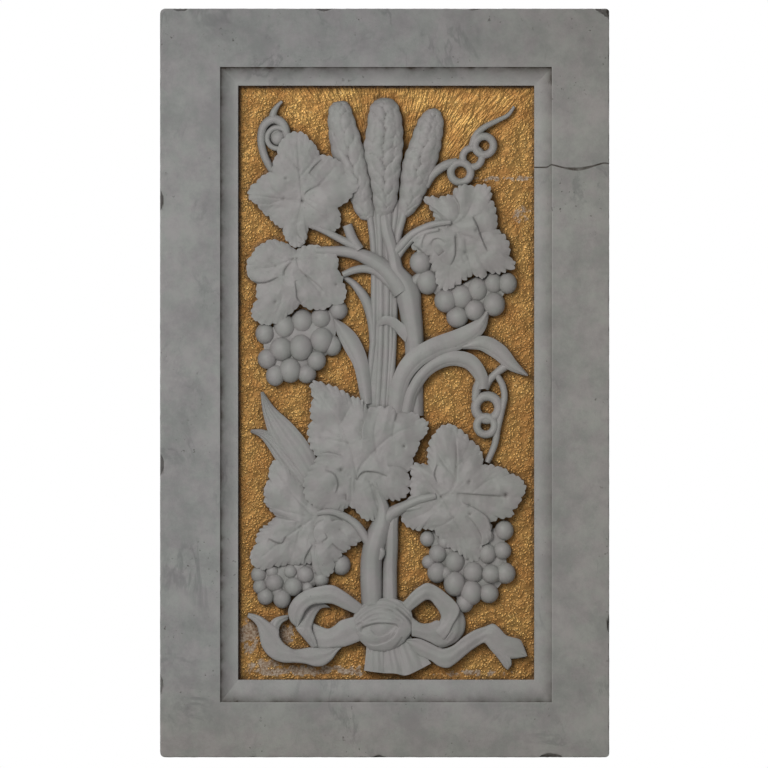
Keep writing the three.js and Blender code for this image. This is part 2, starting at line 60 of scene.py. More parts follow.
QUIRK = 4.0  # the small step at the moulding's outer side
SIGHT_EDGE = 19.0  # height of the moulding's inner edge


def skin(loops, ring=False):
    """A closed skin over a stack of loops of points [x, z, height over the field]. Each loop is
    joined to the next by four-sided faces. The two end loops are closed on their middles, or on each
    other in a ring. Faces turn outwards where the volume under them, a third of the sum of each
    face's corner times its normal, comes out positive."""
    loops = np.asarray(loops, float)
    rows, columns = loops.shape[:2]
    points = loops.reshape(-1, 3)
    at = np.arange(rows * columns).reshape(rows, columns)
    near, far = (at, np.roll(at, -1, 0)) if ring else (at[:-1], at[1:])
    quads = np.stack([near, np.roll(near, -1, 1), np.roll(far, -1, 1), far], -1).reshape(-1, 4)
    ends = np.zeros((0, 3), int)
    if not ring:
        points = np.vstack([points, loops[0].mean(0), loops[-1].mean(0)])
        first, last = at[0], at[-1]
        pole = np.full(columns, rows * columns)
        ends = np.vstack([np.stack([pole, np.roll(first, -1), first], -1),
                          np.stack([pole + 1, last, np.roll(last, -1)], -1)])
    halves = np.vstack([quads[:, :3], quads[:, [0, 2, 3]], ends])
    a, b, c = (points[halves[:, k]] for k in range(3))
    if np.einsum("ij,ij->i", a, np.cross(b, c)).sum() < 0:
        quads, ends = quads[:, ::-1], ends[:, ::-1]
    return points, quads, ends


def piece(name, skins, finish, sharp=38, **attributes):
    """One mesh from a list of skins, with x, height and z set in metres in the slab's frame."""
    starts = np.cumsum([0] + [len(points) for points, _, _ in skins])
    flat = np.vstack([points for points, _, _ in skins])
    places = np.stack([flat[:, 0], -BACK - flat[:, 2], flat[:, 1]], -1) * MM
    faces = [face for start, (_, quads, ends) in zip(starts, skins)
             for face in (quads + start).tolist() + (ends + start).tolist()]
    mesh = bpy.data.meshes.new(name)
    mesh.from_pydata(places.tolist(), [], faces)
    mesh.shade_smooth()
    mesh.set_sharp_from_angle(angle=math.radians(sharp))
    for label, values in attributes.items():
        layer = mesh.attributes.new(label, "FLOAT", "POINT")
        layer.data.foreach_set("value", np.ascontiguousarray(values, np.float32))
    made = bpy.data.objects.new(name, mesh)
    bpy.context.collection.objects.link(made)
    mesh.materials.append(finish)
    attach(made, "root")
    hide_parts("plaque")
    return made


def unevenness(x, z, size, seed):
    """Smooth random heights from -1 to 1: a lattice of seeded values a size apart, blended between
    its points with the weight 3t^2 - 2t^3."""
    values = np.random.default_rng(seed).uniform(-1, 1, (257, 257))
    u, v = np.asarray(x, float) / size + 128, np.asarray(z, float) / size + 128
    i, j = np.floor(u).astype(int), np.floor(v).astype(int)
    s, t = (w * w * (3 - 2 * w) for w in (u - i, v - j))
    i, j = i % 256, j % 256
    return ((values[i, j] * (1 - s) + values[i + 1, j] * s) * (1 - t)
            + (values[i, j + 1] * (1 - s) + values[i + 1, j + 1] * s) * t)


def beside(x, z, line):
    """How far each point lies from a line of stations, which side of it, and where along it: the
    distance to the nearest of its straight runs, 1 on the left of the way it goes and -1 on the
    right, and that run's number plus the share of the run passed, over the count of runs."""
    best = np.full(np.shape(x), 1e9)
    side, share = np.zeros((2,) + np.shape(x))
    for run, ((ax, az), (bx, bz)) in enumerate(zip(line[:-1], line[1:])):
        dx, dz = bx - ax, bz - az
        along = np.clip(((x - ax) * dx + (z - az) * dz) / (dx * dx + dz * dz), 0, 1)
        away = np.hypot(x - ax - along * dx, z - az - along * dz)
        closer = away < best
        side = np.where(closer, np.sign(dx * (z - az) - dz * (x - ax)), side)
        share = np.where(closer, (run + along) / (len(line) - 1), share)
        best = np.minimum(best, away)
    return best, side, share


def side_stops(start, end, step, close=(), fine=0.8):
    """Where columns stand along a side of the slab, as parts of its length: every step, closer to
    each corner, and every fine step in the close stretches."""
    CORNER = np.array([0, 1.2, 2.6, 4.2, 6.2, 9.0, 12.5])
    runs = [start + CORNER, end - CORNER, np.arange(start + 16, end - 15, step)]
    runs += [np.arange(a, b, fine) for a, b in close]
    stops = np.unique(np.round(np.concatenate(runs), 2))
    stops = stops[np.concatenate([[True], np.diff(stops) > 0.35])]
    return (stops - start) / (end - start)


def rounded_corners(x, z, radii, reach):
    """Turns square corners round: a point nearer a corner than its radius moves onto the arc."""
    left, bottom, right, top = reach
    for cx, cz, sx, sz, radius in ((right, bottom, 1, -1, radii[0]), (right, top, 1, 1, radii[1]),
                                   (left, top, -1, 1, radii[2]), (left, bottom, -1, -1, radii[3])):
        dx, dz = (x - cx) * sx + radius, (z - cz) * sz + radius
        out = np.hypot(dx, dz)
        turn = (dx > 0) & (dz > 0) & (out > radius)
        scale = np.where(turn, radius / np.maximum(out, 1e-6), 1)
        x = np.where(turn, cx + sx * (dx * scale - radius), x)
        z = np.where(turn, cz + sz * (dz * scale - radius), z)
    return x, z


def smooth(stations, count, closed=False):
    """Points on a smooth run through the stations: between two stations a cubic, whose slope at each
    end is half the step between the stations on either side of it."""
    s = np.asarray(stations, float)
    spans = len(s) if closed else len(s) - 1
    t = np.linspace(0, spans, count, endpoint=not closed)
    i = np.minimum(t.astype(int), spans - 1)
    f = (t - i)[:, None]
    a, b, p, q = (s[(i + k) % len(s)] if closed else s[np.clip(i + k, 0, len(s) - 1)]
                  for k in (-1, 0, 1, 2))
    return b + 0.5 * f * (p - a + f * (2 * a - 5 * b + 4 * p - q + f * (3 * (b - p) + q - a)))


CRACK = [(200, 287.8), (216, 288), (221, 290.6), (225, 291), (242, 286.8), (259, 285.6), (272, 287.8),
         (284, 291.2), (293, 293.4), (304, 292)]
CRACK_SHARE = 0.788  # how far up the right side the crack meets the edge
CORNERS = (5.5, 4.5, 7, 7)  # how round each is: right bottom, right top, left top, left bottom
HOLLOW_STEPS = 14
ARRIS = 2.0  # how far wear has rounded the edges
FACE_ROWS = 38
hollow = np.linspace(0, 1, HOLLOW_STEPS)
profile = np.array(  # how far in (0 edge, 1 moulding, 2 field) and the height of each row
    [(0.75, -BACK), (0.4, -BACK), (0.1, -BACK), (0.02, -BACK), (0.004, -BACK + 0.4), (0, -BACK + 1.6)]
    + [(0, h) for h in np.linspace(-BACK + 9, SINK - 12, 5)]
    + [(0, SINK - 6), (0, SINK - ARRIS * 1.3), (0.0012, SINK - ARRIS * 0.7), (0.006, SINK - ARRIS * 0.22),
       (0.014, SINK - ARRIS * 0.06), (0.026, SINK), (0.045, SINK)]
    + [(part, SINK) for part in np.linspace(0.07, 0.97, FACE_ROWS)]
    + [(0.985, SINK), (0.997, SINK - 0.3), (1.004, SINK - 1.2), (1.01, SINK - QUIRK + 0.3)]
    + [(1.03 + 0.94 * part, SINK - QUIRK - (SINK - QUIRK - SIGHT_EDGE) * np.sin(part * math.pi / 2))
       for part in hollow]
    + [(1.985, SIGHT_EDGE - 0.1), (1.998, SIGHT_EDGE - 0.7), (2.0, SIGHT_EDGE - 2.5), (2.0, 9),
       (2.0, -1.5)])
outer, middle_frame = EDGE, FIELD + MOULDING
inward = profile[:, :1]
frames = np.where(inward < 1, outer + (middle_frame - outer) * inward,
                  middle_frame + (FIELD - middle_frame) * (inward - 1))
left, bottom, right, top = (frames[:, k:k + 1] for k in range(4))
along_bottom = side_stops(low[0], high[0], 6, [(206, 246)])[:-1]
along_right = side_stops(low[2], high[2], 6, [(281, 297), (478, 492)], 0.45)[:-1]
along_top = (1 - side_stops(low[0], high[0], 6, [(-281, -263), (-94, -70), (272, 290)]))[::-1][:-1]
along_left = (1 - side_stops(low[2], high[2], 6))[::-1][:-1]
# On the right side the columns bend so that some of them run along the crack.
crack_z = np.interp(right, *smooth(CRACK, 80).T)
past_crack = (along_right - CRACK_SHARE) / (1 - CRACK_SHARE)
up_right = bottom + np.where(along_right < CRACK_SHARE, (crack_z - bottom) * along_right / CRACK_SHARE,
                             crack_z - bottom + (top - crack_z) * past_crack)
x = np.hstack([left + (right - left) * along_bottom, np.repeat(right, len(along_right), 1),
               right + (left - right) * along_top, np.repeat(left, len(along_left), 1)])
z = np.hstack([np.repeat(bottom, len(along_bottom), 1), up_right,
               np.repeat(top, len(along_top), 1), top + (bottom - top) * along_left])
height = np.repeat(profile[:, 1:], x.shape[1], 1)
on_rim = np.clip(1 - inward / 0.03, 0, 1)
x, z = rounded_corners(x, z, CORNERS, EDGE)
# Worn edges: the rim is drawn in a little where the unevenness is high, and the face waves gently.
worn = np.clip(unevenness(x + height, z, 9, 1) - 0.35, 0, 1) * 2.2
worn = worn + 0.35 * (1 + unevenness(x, z, 3.5, 2)) * 0.5
x -= np.sign(x) * (np.abs(x) > EDGE[2] - 8) * worn * on_rim
z -= np.sign(z) * (np.abs(z) > EDGE[3] - 8) * worn * on_rim
face = (height > SINK - 3) & (inward > 0.006) & (inward < 1)
height = height - face * (0.22 + 0.22 * unevenness(x, z, 60, 3))
# The broken corner and the nicks: stone beyond a plane or inside a ball has gone.
BREAKS = [  # a point on each broken face and the way it faces
    ((288, 499, 27), (0.42, 0.62, 0.66)), ((300, 484, 30), (0.80, 0.28, 0.53)),
]
NICKS = [  # the middle and the radius of each ball
    ((222, -506, 36), 12.5), ((-272, 504.5, 34), 8), ((-82, 505, 34), 9), ((-303, 244, 30), 8),
    ((-303.5, -110, 30), 9), ((-8, -505, 33), 8), ((303, -322, 32), 6.5), ((118, 504.5, 33), 7),
    ((-303, -402, 31), 7),
]
cut = np.zeros(x.shape)
points = np.stack([x, z, height], -1)
for through, away in BREAKS:
    away = np.array(away) / np.linalg.norm(away)
    rough = 0.9 * unevenness(points[..., 0] + points[..., 2], points[..., 1], 4, 5)
    beyond = np.maximum((points - through) @ away + rough, 0)
    points = points - beyond[..., None] * away
    cut = np.maximum(cut, np.clip(beyond, 0, 1))
for centre, radius in NICKS:
    out = points - np.array(centre)
    on_level_edge = abs(centre[1]) > 400 and abs(centre[0]) < 290
    stretch = np.array([0.62, 1, 1]) if on_level_edge else np.array([1, 0.55, 1])
    reach = np.linalg.norm(out * stretch, axis=-1) + 0.7 * unevenness(x + height, z, 3, 6)
    inside = reach < radius
    scooped = np.array(centre) + out * (radius / np.maximum(reach, 1))[..., None]
    points = np.where(inside[..., None], scooped, points)
    cut = np.maximum(cut, inside * 1.0)
points[..., 0] = np.clip(points[..., 0], EDGE[0], EDGE[2])
points[..., 1] = np.clip(points[..., 1], EDGE[1], EDGE[3])
points[..., 2] = np.minimum(points[..., 2], SINK)
x, z, height = (points[..., k] for k in range(3))
# The crack: a groove that gapes most a third of the way in, dark where dirt has run into it.
off_crack = np.abs(z - np.interp(x, *smooth(CRACK, 80).T))
gape = 0.75 + 0.9 * np.exp(-((x - 260) / 16) ** 2) + 0.15 * unevenness(x, z, 7, 8)
height = height - (height > 15) * (x > 199) * 1.0 * np.clip(1.6 - off_crack / gape, 0, 1)
stain = 0.8 * np.clip(1.7 - off_crack / gape, 0, 1) * (x > 199) * np.clip((height - 8) / 11, 0, 1)
stain = np.maximum(stain, 0.3 * np.exp(-((x - 221) / 3.5) ** 2 - ((z - 292) / 5) ** 2))
slab_skin = skin(np.stack([x, z, height], -1))
stain = np.maximum(stain, 0.45 * cut)
# Soot along the step at the moulding's outer side on every side, with painted shadow that makes it darkest
# under the top edge and on the left.
UNDER_TOP, AT_LEFT, AT_BOTTOM, AT_RIGHT = 1.0, 0.9, 0.6, 0.3
soot_and_shadow = np.select([z >= FIELD[3] + 2, x <= FIELD[0] - 2, z <= FIELD[1] - 2],
                  [UNDER_TOP, AT_LEFT, AT_BOTTOM], AT_RIGHT)
in_quirk = (inward > 1.001) * np.exp(-np.maximum(inward - 1.01, 0) / 0.19)
in_corner = np.exp(-np.hypot(np.abs(x) - 219, np.abs(z) - 422) / 9)
stain = np.maximum(stain, (soot_and_shadow + 0.3 * in_corner) * in_quirk * (0.85 + 0.4 * unevenness(x, z, 9, 15)))
# Painted shade along the arrises of the right side and the bottom.
shaded_arris = (x > EDGE[2] - 4) | (z < EDGE[1] + 4)
stain = np.maximum(stain, 0.8 * np.clip(1.3 - inward / 0.009, 0, 1) * shaded_arris)
side_wall = np.clip(1 - inward / 0.02, 0, 1) * (height < SINK - 1.5)
stain = np.maximum(stain, side_wall * np.clip(0.22 + 0.3 * unevenness(x, z + height, 55, 9), 0, 0.5))
# These values hold the stains of the crack and breaks, the side walls' stain, the quirk's soot with painted
# shadow, and painted shade on the right and bottom arrises.
stain_values = np.append(stain.reshape(-1), [0, 0])
# The moulding's inner part is rubbed lighter than its dirty outer step.
polish = np.append((0.5 * np.clip((inward - 1.15) / 0.7, 0, 1) + 0 * x).reshape(-1), [0, 0])


def node(tree, kind, inputs=(), **settings):
    """One shader node. inputs maps a socket's name or number to a value or to the socket feeding it."""
    made = tree.nodes.new("ShaderNode" + kind)
    for name, value in settings.items():
        setattr(made, name, value)
    for key, value in dict(inputs).items():
        if isinstance(value, bpy.types.NodeSocket):
            tree.links.new(value, made.inputs[key])
        else:
            made.inputs[key].default_value = value
    return made


def node_group(name, inputs, outputs):
    """An empty shader node group. Sockets are (name, kind, starting value) or (name, kind)."""
    tree = bpy.data.node_groups.new(name, "ShaderNodeTree")
    for label, kind, start in inputs:
        socket = tree.interface.new_socket(label, in_out="INPUT", socket_type="NodeSocket" + kind)
        if start is not None:
            socket.default_value = start
    for label, kind in outputs:
        tree.interface.new_socket(label, in_out="OUTPUT", socket_type="NodeSocket" + kind)
    return tree, tree.nodes.new("NodeGroupInput"), tree.nodes.new("NodeGroupOutput")


def blend(tree, part, first, second, mode="MIX"):
    """A colour mixed from two."""
    made = node(tree, "Mix", {0: part, 6: first, 7: second}, data_type="RGBA", blend_type=mode)
    return made.outputs[2]


def ramp(tree, value, start, end, low_to=0.0, high_to=1.0):
    """A value spread from start..end to low_to..high_to, smoothly and held at the ends."""
    made = node(tree, "MapRange", {0: value, 1: start, 2: end, 3: low_to, 4: high_to},
                interpolation_type="SMOOTHSTEP")
    return made.outputs[0]


def maths(tree, operation, first, second=0.0):
    """One sum on two values."""
    return node(tree, "Math", {0: first, 1: second}, operation=operation).outputs[0]


# Clouds, veins and flecks of marble, all from noise in object space.
cloudy_stone, stone_in, stone_out = node_group(
    "Cloudy stone",
    [("Position", "Vector", None), ("Vein strength", "Float", 1.0), ("Fleck strength", "Float", 1.0)],
    [("Cloud", "Float"), ("Vein", "Float"), ("Fleck", "Float"), ("Grain", "Float"), ("Hue", "Float")])
place = stone_in.outputs["Position"]
cloud = node(cloudy_stone, "TexNoise", {"Vector": place, "Scale": 16.0, "Detail": 7.0, "Roughness": 0.72})
slanted = node(cloudy_stone, "Mapping", {"Vector": place, "Rotation": (0.2, 0.75, 0.2),
                                         "Scale": (1.0, 1.0, 0.6)})
wander = node(cloudy_stone, "TexNoise", {"Vector": slanted.outputs[0], "Scale": 8.5, "Detail": 6.0,
                                         "Roughness": 0.62, "Distortion": 0.7})
off_vein = maths(cloudy_stone, "ABSOLUTE", maths(cloudy_stone, "SUBTRACT", wander.outputs[0], 0.5))
vein_here = node(cloudy_stone, "TexNoise", {"Vector": place, "Scale": 13.0, "Detail": 3.0})
vein = maths(cloudy_stone, "MULTIPLY", ramp(cloudy_stone, off_vein, 0.0, 0.03, 1.0, 0.0),
             ramp(cloudy_stone, vein_here.outputs[0], 0.47, 0.66))
hue = node(cloudy_stone, "TexNoise", {"Vector": place, "Scale": 42.0, "Detail": 4.0, "Roughness": 0.6})
specks = node(cloudy_stone, "TexNoise", {"Vector": place, "Scale": 190.0, "Detail": 2.0})
speck_here = node(cloudy_stone, "TexNoise", {"Vector": place, "Scale": 14.0, "Detail": 3.0})
fleck = maths(cloudy_stone, "MULTIPLY", ramp(cloudy_stone, specks.outputs[0], 0.66, 0.75),
              ramp(cloudy_stone, speck_here.outputs[0], 0.5, 0.66))
grain = node(cloudy_stone, "TexNoise", {"Vector": place, "Scale": 700.0, "Detail": 3.0})
for label, value in (("Cloud", cloud.outputs[0]), ("Grain", grain.outputs[0]), ("Hue", hue.outputs[0]),
                     ("Vein", maths(cloudy_stone, "MULTIPLY", vein, stone_in.outputs["Vein strength"])),
                     ("Fleck", maths(cloudy_stone, "MULTIPLY", fleck, stone_in.outputs["Fleck strength"]))):
    cloudy_stone.links.new(value, stone_out.inputs[label])

# Dirt that years have left in the hollows and on stained places, together with painted shade in the hollows
# and painted shadow along some edges, broken up by noise.
dirt_and_shade_group, dirt_and_shade_in, dirt_and_shade_out = node_group(
    "Dirt and painted shade",
    [("Clean", "Color", None), ("Dust and shade", "Color", None), ("Stain and shade", "Color", None),
     ("Position", "Vector", None), ("Dust amount", "Float", 1.0), ("Worn", "Color", None),
     ("Worn amount", "Float", 0.5)],
    [("Colour", "Color"), ("Cover", "Float")])
dust_and_shade = node(dirt_and_shade_group, "Attribute", attribute_name="dust_and_shade").outputs["Fac"]
stained = node(dirt_and_shade_group, "Attribute", attribute_name="stain").outputs["Fac"]
patches = node(dirt_and_shade_group, "TexNoise", {"Vector": dirt_and_shade_in.outputs["Position"], "Scale": 60.0,
                                           "Detail": 4.0, "Roughness": 0.65})
uneven = ramp(dirt_and_shade_group, patches.outputs[0], 0.25, 0.75, 0.55, 1.3)
broken_up = maths(dirt_and_shade_group, "MULTIPLY", dust_and_shade, uneven)
dust_and_shade_cover = node(dirt_and_shade_group, "Math", {0: broken_up, 1: dirt_and_shade_in.outputs["Dust amount"]},
             operation="MULTIPLY", use_clamp=True).outputs[0]
soiled_and_shaded = node(dirt_and_shade_group, "Math", {0: stained, 1: uneven},
              operation="MULTIPLY", use_clamp=True).outputs[0]
rubbed_bare = node(dirt_and_shade_group, "Attribute", attribute_name="worn").outputs["Fac"]
how_bare = maths(dirt_and_shade_group, "MULTIPLY", rubbed_bare, dirt_and_shade_in.outputs["Worn amount"])
lightened = blend(dirt_and_shade_group, how_bare, dirt_and_shade_in.outputs["Clean"], dirt_and_shade_in.outputs["Worn"])
dusted_and_shaded = blend(dirt_and_shade_group, dust_and_shade_cover, lightened, dirt_and_shade_in.outputs["Dust and shade"])
dirtied_and_shaded = blend(dirt_and_shade_group, soiled_and_shaded, dusted_and_shaded, dirt_and_shade_in.outputs["Stain and shade"])
dirt_and_shade_group.links.new(dirtied_and_shaded, dirt_and_shade_out.inputs["Colour"])
dirt_and_shade_group.links.new(maths(dirt_and_shade_group, "MAXIMUM", dust_and_shade_cover, soiled_and_shaded), dirt_and_shade_out.inputs["Cover"])


def marble(name, light, grey, veins, flecks, warmth, bump):
    """White marble gone grey with age: light stone clouded with grey, veined and flecked, with dust and
    painted shade in its hollows. warmth mixes in a tan tone toward the right and the bottom, and darkens
    the top."""
    made = bpy.data.materials.new(name)
    made.use_nodes = True
    tree = made.node_tree
    surface = tree.nodes["Principled BSDF"]
    place = node(tree, "TexCoord").outputs["Object"]
    stone = node(tree, "Group", node_tree=cloudy_stone)
    tree.links.new(place, stone.inputs["Position"])
    stone.inputs["Vein strength"].default_value = veins
    stone.inputs["Fleck strength"].default_value = flecks
    clouded = blend(tree, ramp(tree, stone.outputs["Cloud"], 0.32, 0.68), grey, light)
    veined = blend(tree, stone.outputs["Vein"], clouded, (0.16, 0.165, 0.17, 1))
    flecked = blend(tree, stone.outputs["Fleck"], veined, (0.075, 0.07, 0.065, 1))
    where = node(tree, "SeparateXYZ", {0: place})
    to_right = ramp(tree, where.outputs["X"], -0.05, 0.32)
    to_bottom = ramp(tree, where.outputs["Z"], -0.36, -0.5)
    tanned = maths(tree, "MULTIPLY", maths(tree, "MAXIMUM", to_right, to_bottom), warmth)
    darker_to_top = maths(tree, "MULTIPLY", ramp(tree, where.outputs["Z"], 0.3, 0.5), warmth)
    tint = blend(tree, ramp(tree, stone.outputs["Hue"], 0.35, 0.65), (0.97, 1.0, 0.97, 1),
                 (1.02, 0.985, 0.995, 1))
    hued = blend(tree, 1.0, flecked, tint, "MULTIPLY")
    toned = blend(tree, tanned, hued, (1.0, 0.965, 0.91, 1), "MULTIPLY")
    toned = blend(tree, darker_to_top, toned, (0.8, 0.8, 0.81, 1), "MULTIPLY")
    dirt_and_shade = node(tree, "Group", node_tree=dirt_and_shade_group)
    tree.links.new(toned, dirt_and_shade.inputs["Clean"])
    tree.links.new(place, dirt_and_shade.inputs["Position"])
    dirt_and_shade.inputs["Dust and shade"].default_value = (0.105, 0.1, 0.088, 1)
    dirt_and_shade.inputs["Stain and shade"].default_value = (0.045, 0.032, 0.022, 1)
    dirt_and_shade.inputs["Worn"].default_value = (0.5, 0.495, 0.485, 1)
    tree.links.new(dirt_and_shade.outputs["Colour"], surface.inputs["Base Color"])
    tree.links.new(ramp(tree, dirt_and_shade.outputs["Cover"], 0, 1, 0.5, 0.85), surface.inputs["Roughness"])
    relief = node(tree, "Bump", {"Strength": bump, "Distance": 0.0006, "Height": stone.outputs["Grain"]})
    tree.links.new(relief.outputs[0], surface.inputs["Normal"])
    surface.inputs["Specular IOR Level"].default_value = 0.4
    return made


border_marble = marble("Border marble", light=(0.36, 0.361, 0.359, 1), grey=(0.262, 0.264, 0.266, 1),
                       veins=0.5, flecks=0.9, warmth=0.8, bump=0.35)
carved_marble = marble("Carved marble", light=(0.375, 0.37, 0.365, 1), grey=(0.32, 0.314, 0.31, 1),
                       veins=0.1, flecks=0.3, warmth=0.5, bump=0.5)
slab = piece("slab", [slab_skin], border_marble, 30, stain=stain_values)


# ======== The gilded field ========
# The bed of the sunk panel, punched all over with a pointed tool, struck with rays round the wheat,
# and covered with gold leaf that has worn to the bole and stone in places.
PITCH = 2.0  # between the points of the field's grid
reach_x = np.arange(FIELD[0] - 1, FIELD[2] + 1 + PITCH, PITCH)
reach_z = np.arange(FIELD[1] - 1, FIELD[3] + 1 + PITCH, PITCH)
z, x = np.meshgrid(reach_z, reach_x, indexing="ij")
ground = 0.45 * unevenness(x, z, 14, 12) + 0.4 * unevenness(x, z, 5, 11) - 0.4
RUBBED_PLACES = [  # the middle, the reach in x and in z, and how far the gold is gone
    (-183, -338, 16, 22, 1.0), (-130, -335, 12, 12, 1.0), (-110, -384, 75, 8, 0.9),
    (-160, -378, 22, 10, 0.8), (160, 273, 48, 4, 0.7), (181, 225, 14, 13, 0.6),
    (120, -388, 60, 6, 0.55), (-40, -384, 24, 9, 0.6),
]
rubbed = np.zeros(x.shape)
for cx, cz, rx, rz, amount in RUBBED_PLACES:
    rubbed = np.maximum(rubbed, amount * np.exp(-((x - cx) / rx) ** 2 - ((z - cz) / rz) ** 2))
rubbed = np.clip(rubbed * (1.25 + 0.9 * unevenness(x, z, 5, 14)), 0, 1)
under = np.stack([np.repeat(reach_x[[-1, 0]][None], len(reach_z), 0), np.repeat(reach_z[:, None], 2, 1),
                  np.full((len(reach_z), 2), -2.8)], -1)
field_loops = np.concatenate([np.stack([x, z, ground - 0.2], -1), under], 1)


def spread(values, loops):
    """A value for every point of a skin: the grid's own, and nothing for points added to close it."""
    whole = np.zeros(loops.shape[:2])
    whole[:values.shape[0], :values.shape[1]] = values
    return np.append(whole.reshape(-1), [0, 0])


gilding = bpy.data.materials.new("Worn gilding")
gilding.use_nodes = True
tree = gilding.node_tree
surface = tree.nodes["Principled BSDF"]
place = node(tree, "TexCoord").outputs["Object"]
# The punch marks: cells pushed about by noise, highest in their middles, where the gold is painted with a
# highlight.
wobble = node(tree, "TexNoise", {"Vector": place, "Scale": 160.0, "Detail": 2.0})
shifted = node(tree, "VectorMath", {0: wobble.outputs["Color"], 1: (0.5, 0.5, 0.5)}, operation="SUBTRACT")
pushed = node(tree, "VectorMath", {0: shifted.outputs[0], "Scale": 0.006}, operation="SCALE")
moved = node(tree, "VectorMath", {0: place, 1: pushed.outputs[0]}, operation="ADD").outputs[0]
marks = node(tree, "TexVoronoi", {"Vector": moved, "Scale": 285.0})
dab = ramp(tree, marks.outputs["Distance"], 0.08, 0.6, 1.0, 0.0)
where = node(tree, "SeparateXYZ", {0: place})
# The rays: noise drawn out along lines from the place where the ears spring.
from_middle = maths(tree, "SUBTRACT", where.outputs["X"], 0.008)
over_root = maths(tree, "SUBTRACT", where.outputs["Z"], 0.205)
turned = maths(tree, "ARCTAN2", from_middle, over_root)
from_root = maths(tree, "SQRT", maths(tree, "ADD", maths(tree, "MULTIPLY", from_middle, from_middle),
                                      maths(tree, "MULTIPLY", over_root, over_root)))
spokes = node(tree, "CombineXYZ", {0: maths(tree, "MULTIPLY", turned, 60.0),
                                   1: maths(tree, "MULTIPLY", from_root, 60.0)})
streaks = node(tree, "TexNoise", {"Vector": spokes.outputs[0], "Scale": 1.0, "Detail": 1.5})
ray = ramp(tree, streaks.outputs[0], 0.36, 0.64)
off_axis = maths(tree, "ABSOLUTE", maths(tree, "SUBTRACT", turned, 0.1))
struck = maths(tree, "MULTIPLY", ramp(tree, off_axis, 0.55, 1.0, 0.55, 0.0),
               ramp(tree, from_root, 0.06, 0.12))
relief_height = node(tree, "Mix", {0: struck, 2: dab, 3: ray}, data_type="FLOAT").outputs[0]
# The gold: painted shade between the punch marks and a painted highlight on them, and speckled away to
# stone where it is rubbed.
leaf_tone = node(tree, "TexNoise", {"Vector": place, "Scale": 30.0, "Detail": 6.0, "Roughness": 0.72})
gold = blend(tree, ramp(tree, leaf_tone.outputs[0], 0.3, 0.7), (0.44, 0.205, 0.058, 1),
             (0.48, 0.295, 0.09, 1))
gold = blend(tree, ramp(tree, relief_height, 0.0, 0.55, 0.5, 0.0), gold, (0.22, 0.1, 0.03, 1))
gold = blend(tree, ramp(tree, relief_height, 0.6, 1.0, 0.0, 0.6), gold, (0.7, 0.48, 0.22, 1))
crumbs = node(tree, "TexNoise", {"Vector": place, "Scale": 320.0, "Detail": 3.0, "Roughness": 0.7})
bare = node(tree, "Attribute", attribute_name="rubbed").outputs["Fac"]
flaked = ramp(tree, maths(tree, "ADD", bare, crumbs.outputs[0]), 0.9, 1.25)
stone_tone = blend(tree, ramp(tree, crumbs.outputs[0], 0.4, 0.6), (0.24, 0.14, 0.08, 1),
                   (0.5, 0.4, 0.31, 1))
gold = blend(tree, flaked, gold, stone_tone)
# On the field the dark dust colour paints dust, the shade in the hollows, and the shadow under the
# moulding's top and left edges.
dirt_and_shade = node(tree, "Group", node_tree=dirt_and_shade_group)
tree.links.new(gold, dirt_and_shade.inputs["Clean"])
tree.links.new(place, dirt_and_shade.inputs["Position"])
dirt_and_shade.inputs["Dust and shade"].default_value = (0.07, 0.032, 0.012, 1)
dirt_and_shade.inputs["Stain and shade"].default_value = (0.03, 0.02, 0.012, 1)
dirt_and_shade.inputs["Worn"].default_value = (0.8, 0.55, 0.22, 1)
tree.links.new(dirt_and_shade.outputs["Colour"], surface.inputs["Base Color"])
tree.links.new(maths(tree, "MULTIPLY", ramp(tree, dirt_and_shade.outputs["Cover"], 0.2, 1, 0.85, 0.3),
                     ramp(tree, flaked, 0, 1, 1, 0.05)), surface.inputs["Metallic"])
tree.links.new(ramp(tree, leaf_tone.outputs[0], 0.3, 0.7, 0.5, 0.38), surface.inputs["Roughness"])
relief = node(tree, "Bump", {"Strength": 0.5, "Distance": 0.0012, "Height": relief_height})
tree.links.new(relief.outputs[0], surface.inputs["Normal"])

field = piece("gilded_field", [skin(field_loops)], gilding, 180, rubbed=spread(rubbed, field_loops))


# ======== The wheat ears ========
# Three ears left standing on the field, cut in the same marble. Each is a swelling spindle with
# plaited rows of slanting grains, worn shallow.
def between(one_edge, other_edge, heights, rows, columns, crown, undercut=0.86):
    """A form spread between two edges, each a smooth run through its points [x, z]. Across it, from -1
    at the first edge to 1 at the other, the top is the straight line between the two edges' heights
    plus crown(across, half width, along); its walls run down to the root, drawn in under the edges."""
    one, other, level = (smooth(stations, rows) for stations in (one_edge, other_edge, heights))
    half = np.linalg.norm(other - one, axis=1, keepdims=True) / 2
    across = np.sin(np.linspace(-math.pi / 2, math.pi / 2, columns))[None]
    along = np.linspace(0, 1, rows)[:, None]
    left, right = level[:, :1], level[:, 1:]
    top = left + (right - left) * (across + 1) / 2 + crown(across, half, along)
    walls = np.hstack([top[:, -1:] - 2, np.full((rows, 2), ROOT), top[:, :1] - 2])
    foot = np.array([[1.0, undercut, -undercut, -1.0]])
    side = np.hstack([np.repeat(across, rows, 0), np.repeat(foot, rows, 0)])[..., None]
    middle, reach = (one + other)[:, None] / 2, (other - one)[:, None] / 2
    height = np.hstack([top, np.maximum(walls, ROOT)])[..., None]
    return skin(np.concatenate([middle + reach * side, height], -1))


def strip(stations, rows, columns, crown, undercut=0.86):
    """A form carried along stations [x, z, half width, left height, right height]: it spreads between
    two edges that stand the half width to either side of the smooth run through the stations."""
    run = smooth(stations, rows)
    way = np.gradient(run[:, :2], axis=0)
    way /= np.linalg.norm(way, axis=1, keepdims=True)
    aside = np.stack([way[:, 1], -way[:, 0]], -1) * run[:, 2:3]
    return between(run[:, :2] - aside, run[:, :2] + aside, run[:, 3:], rows, columns, crown, undercut)


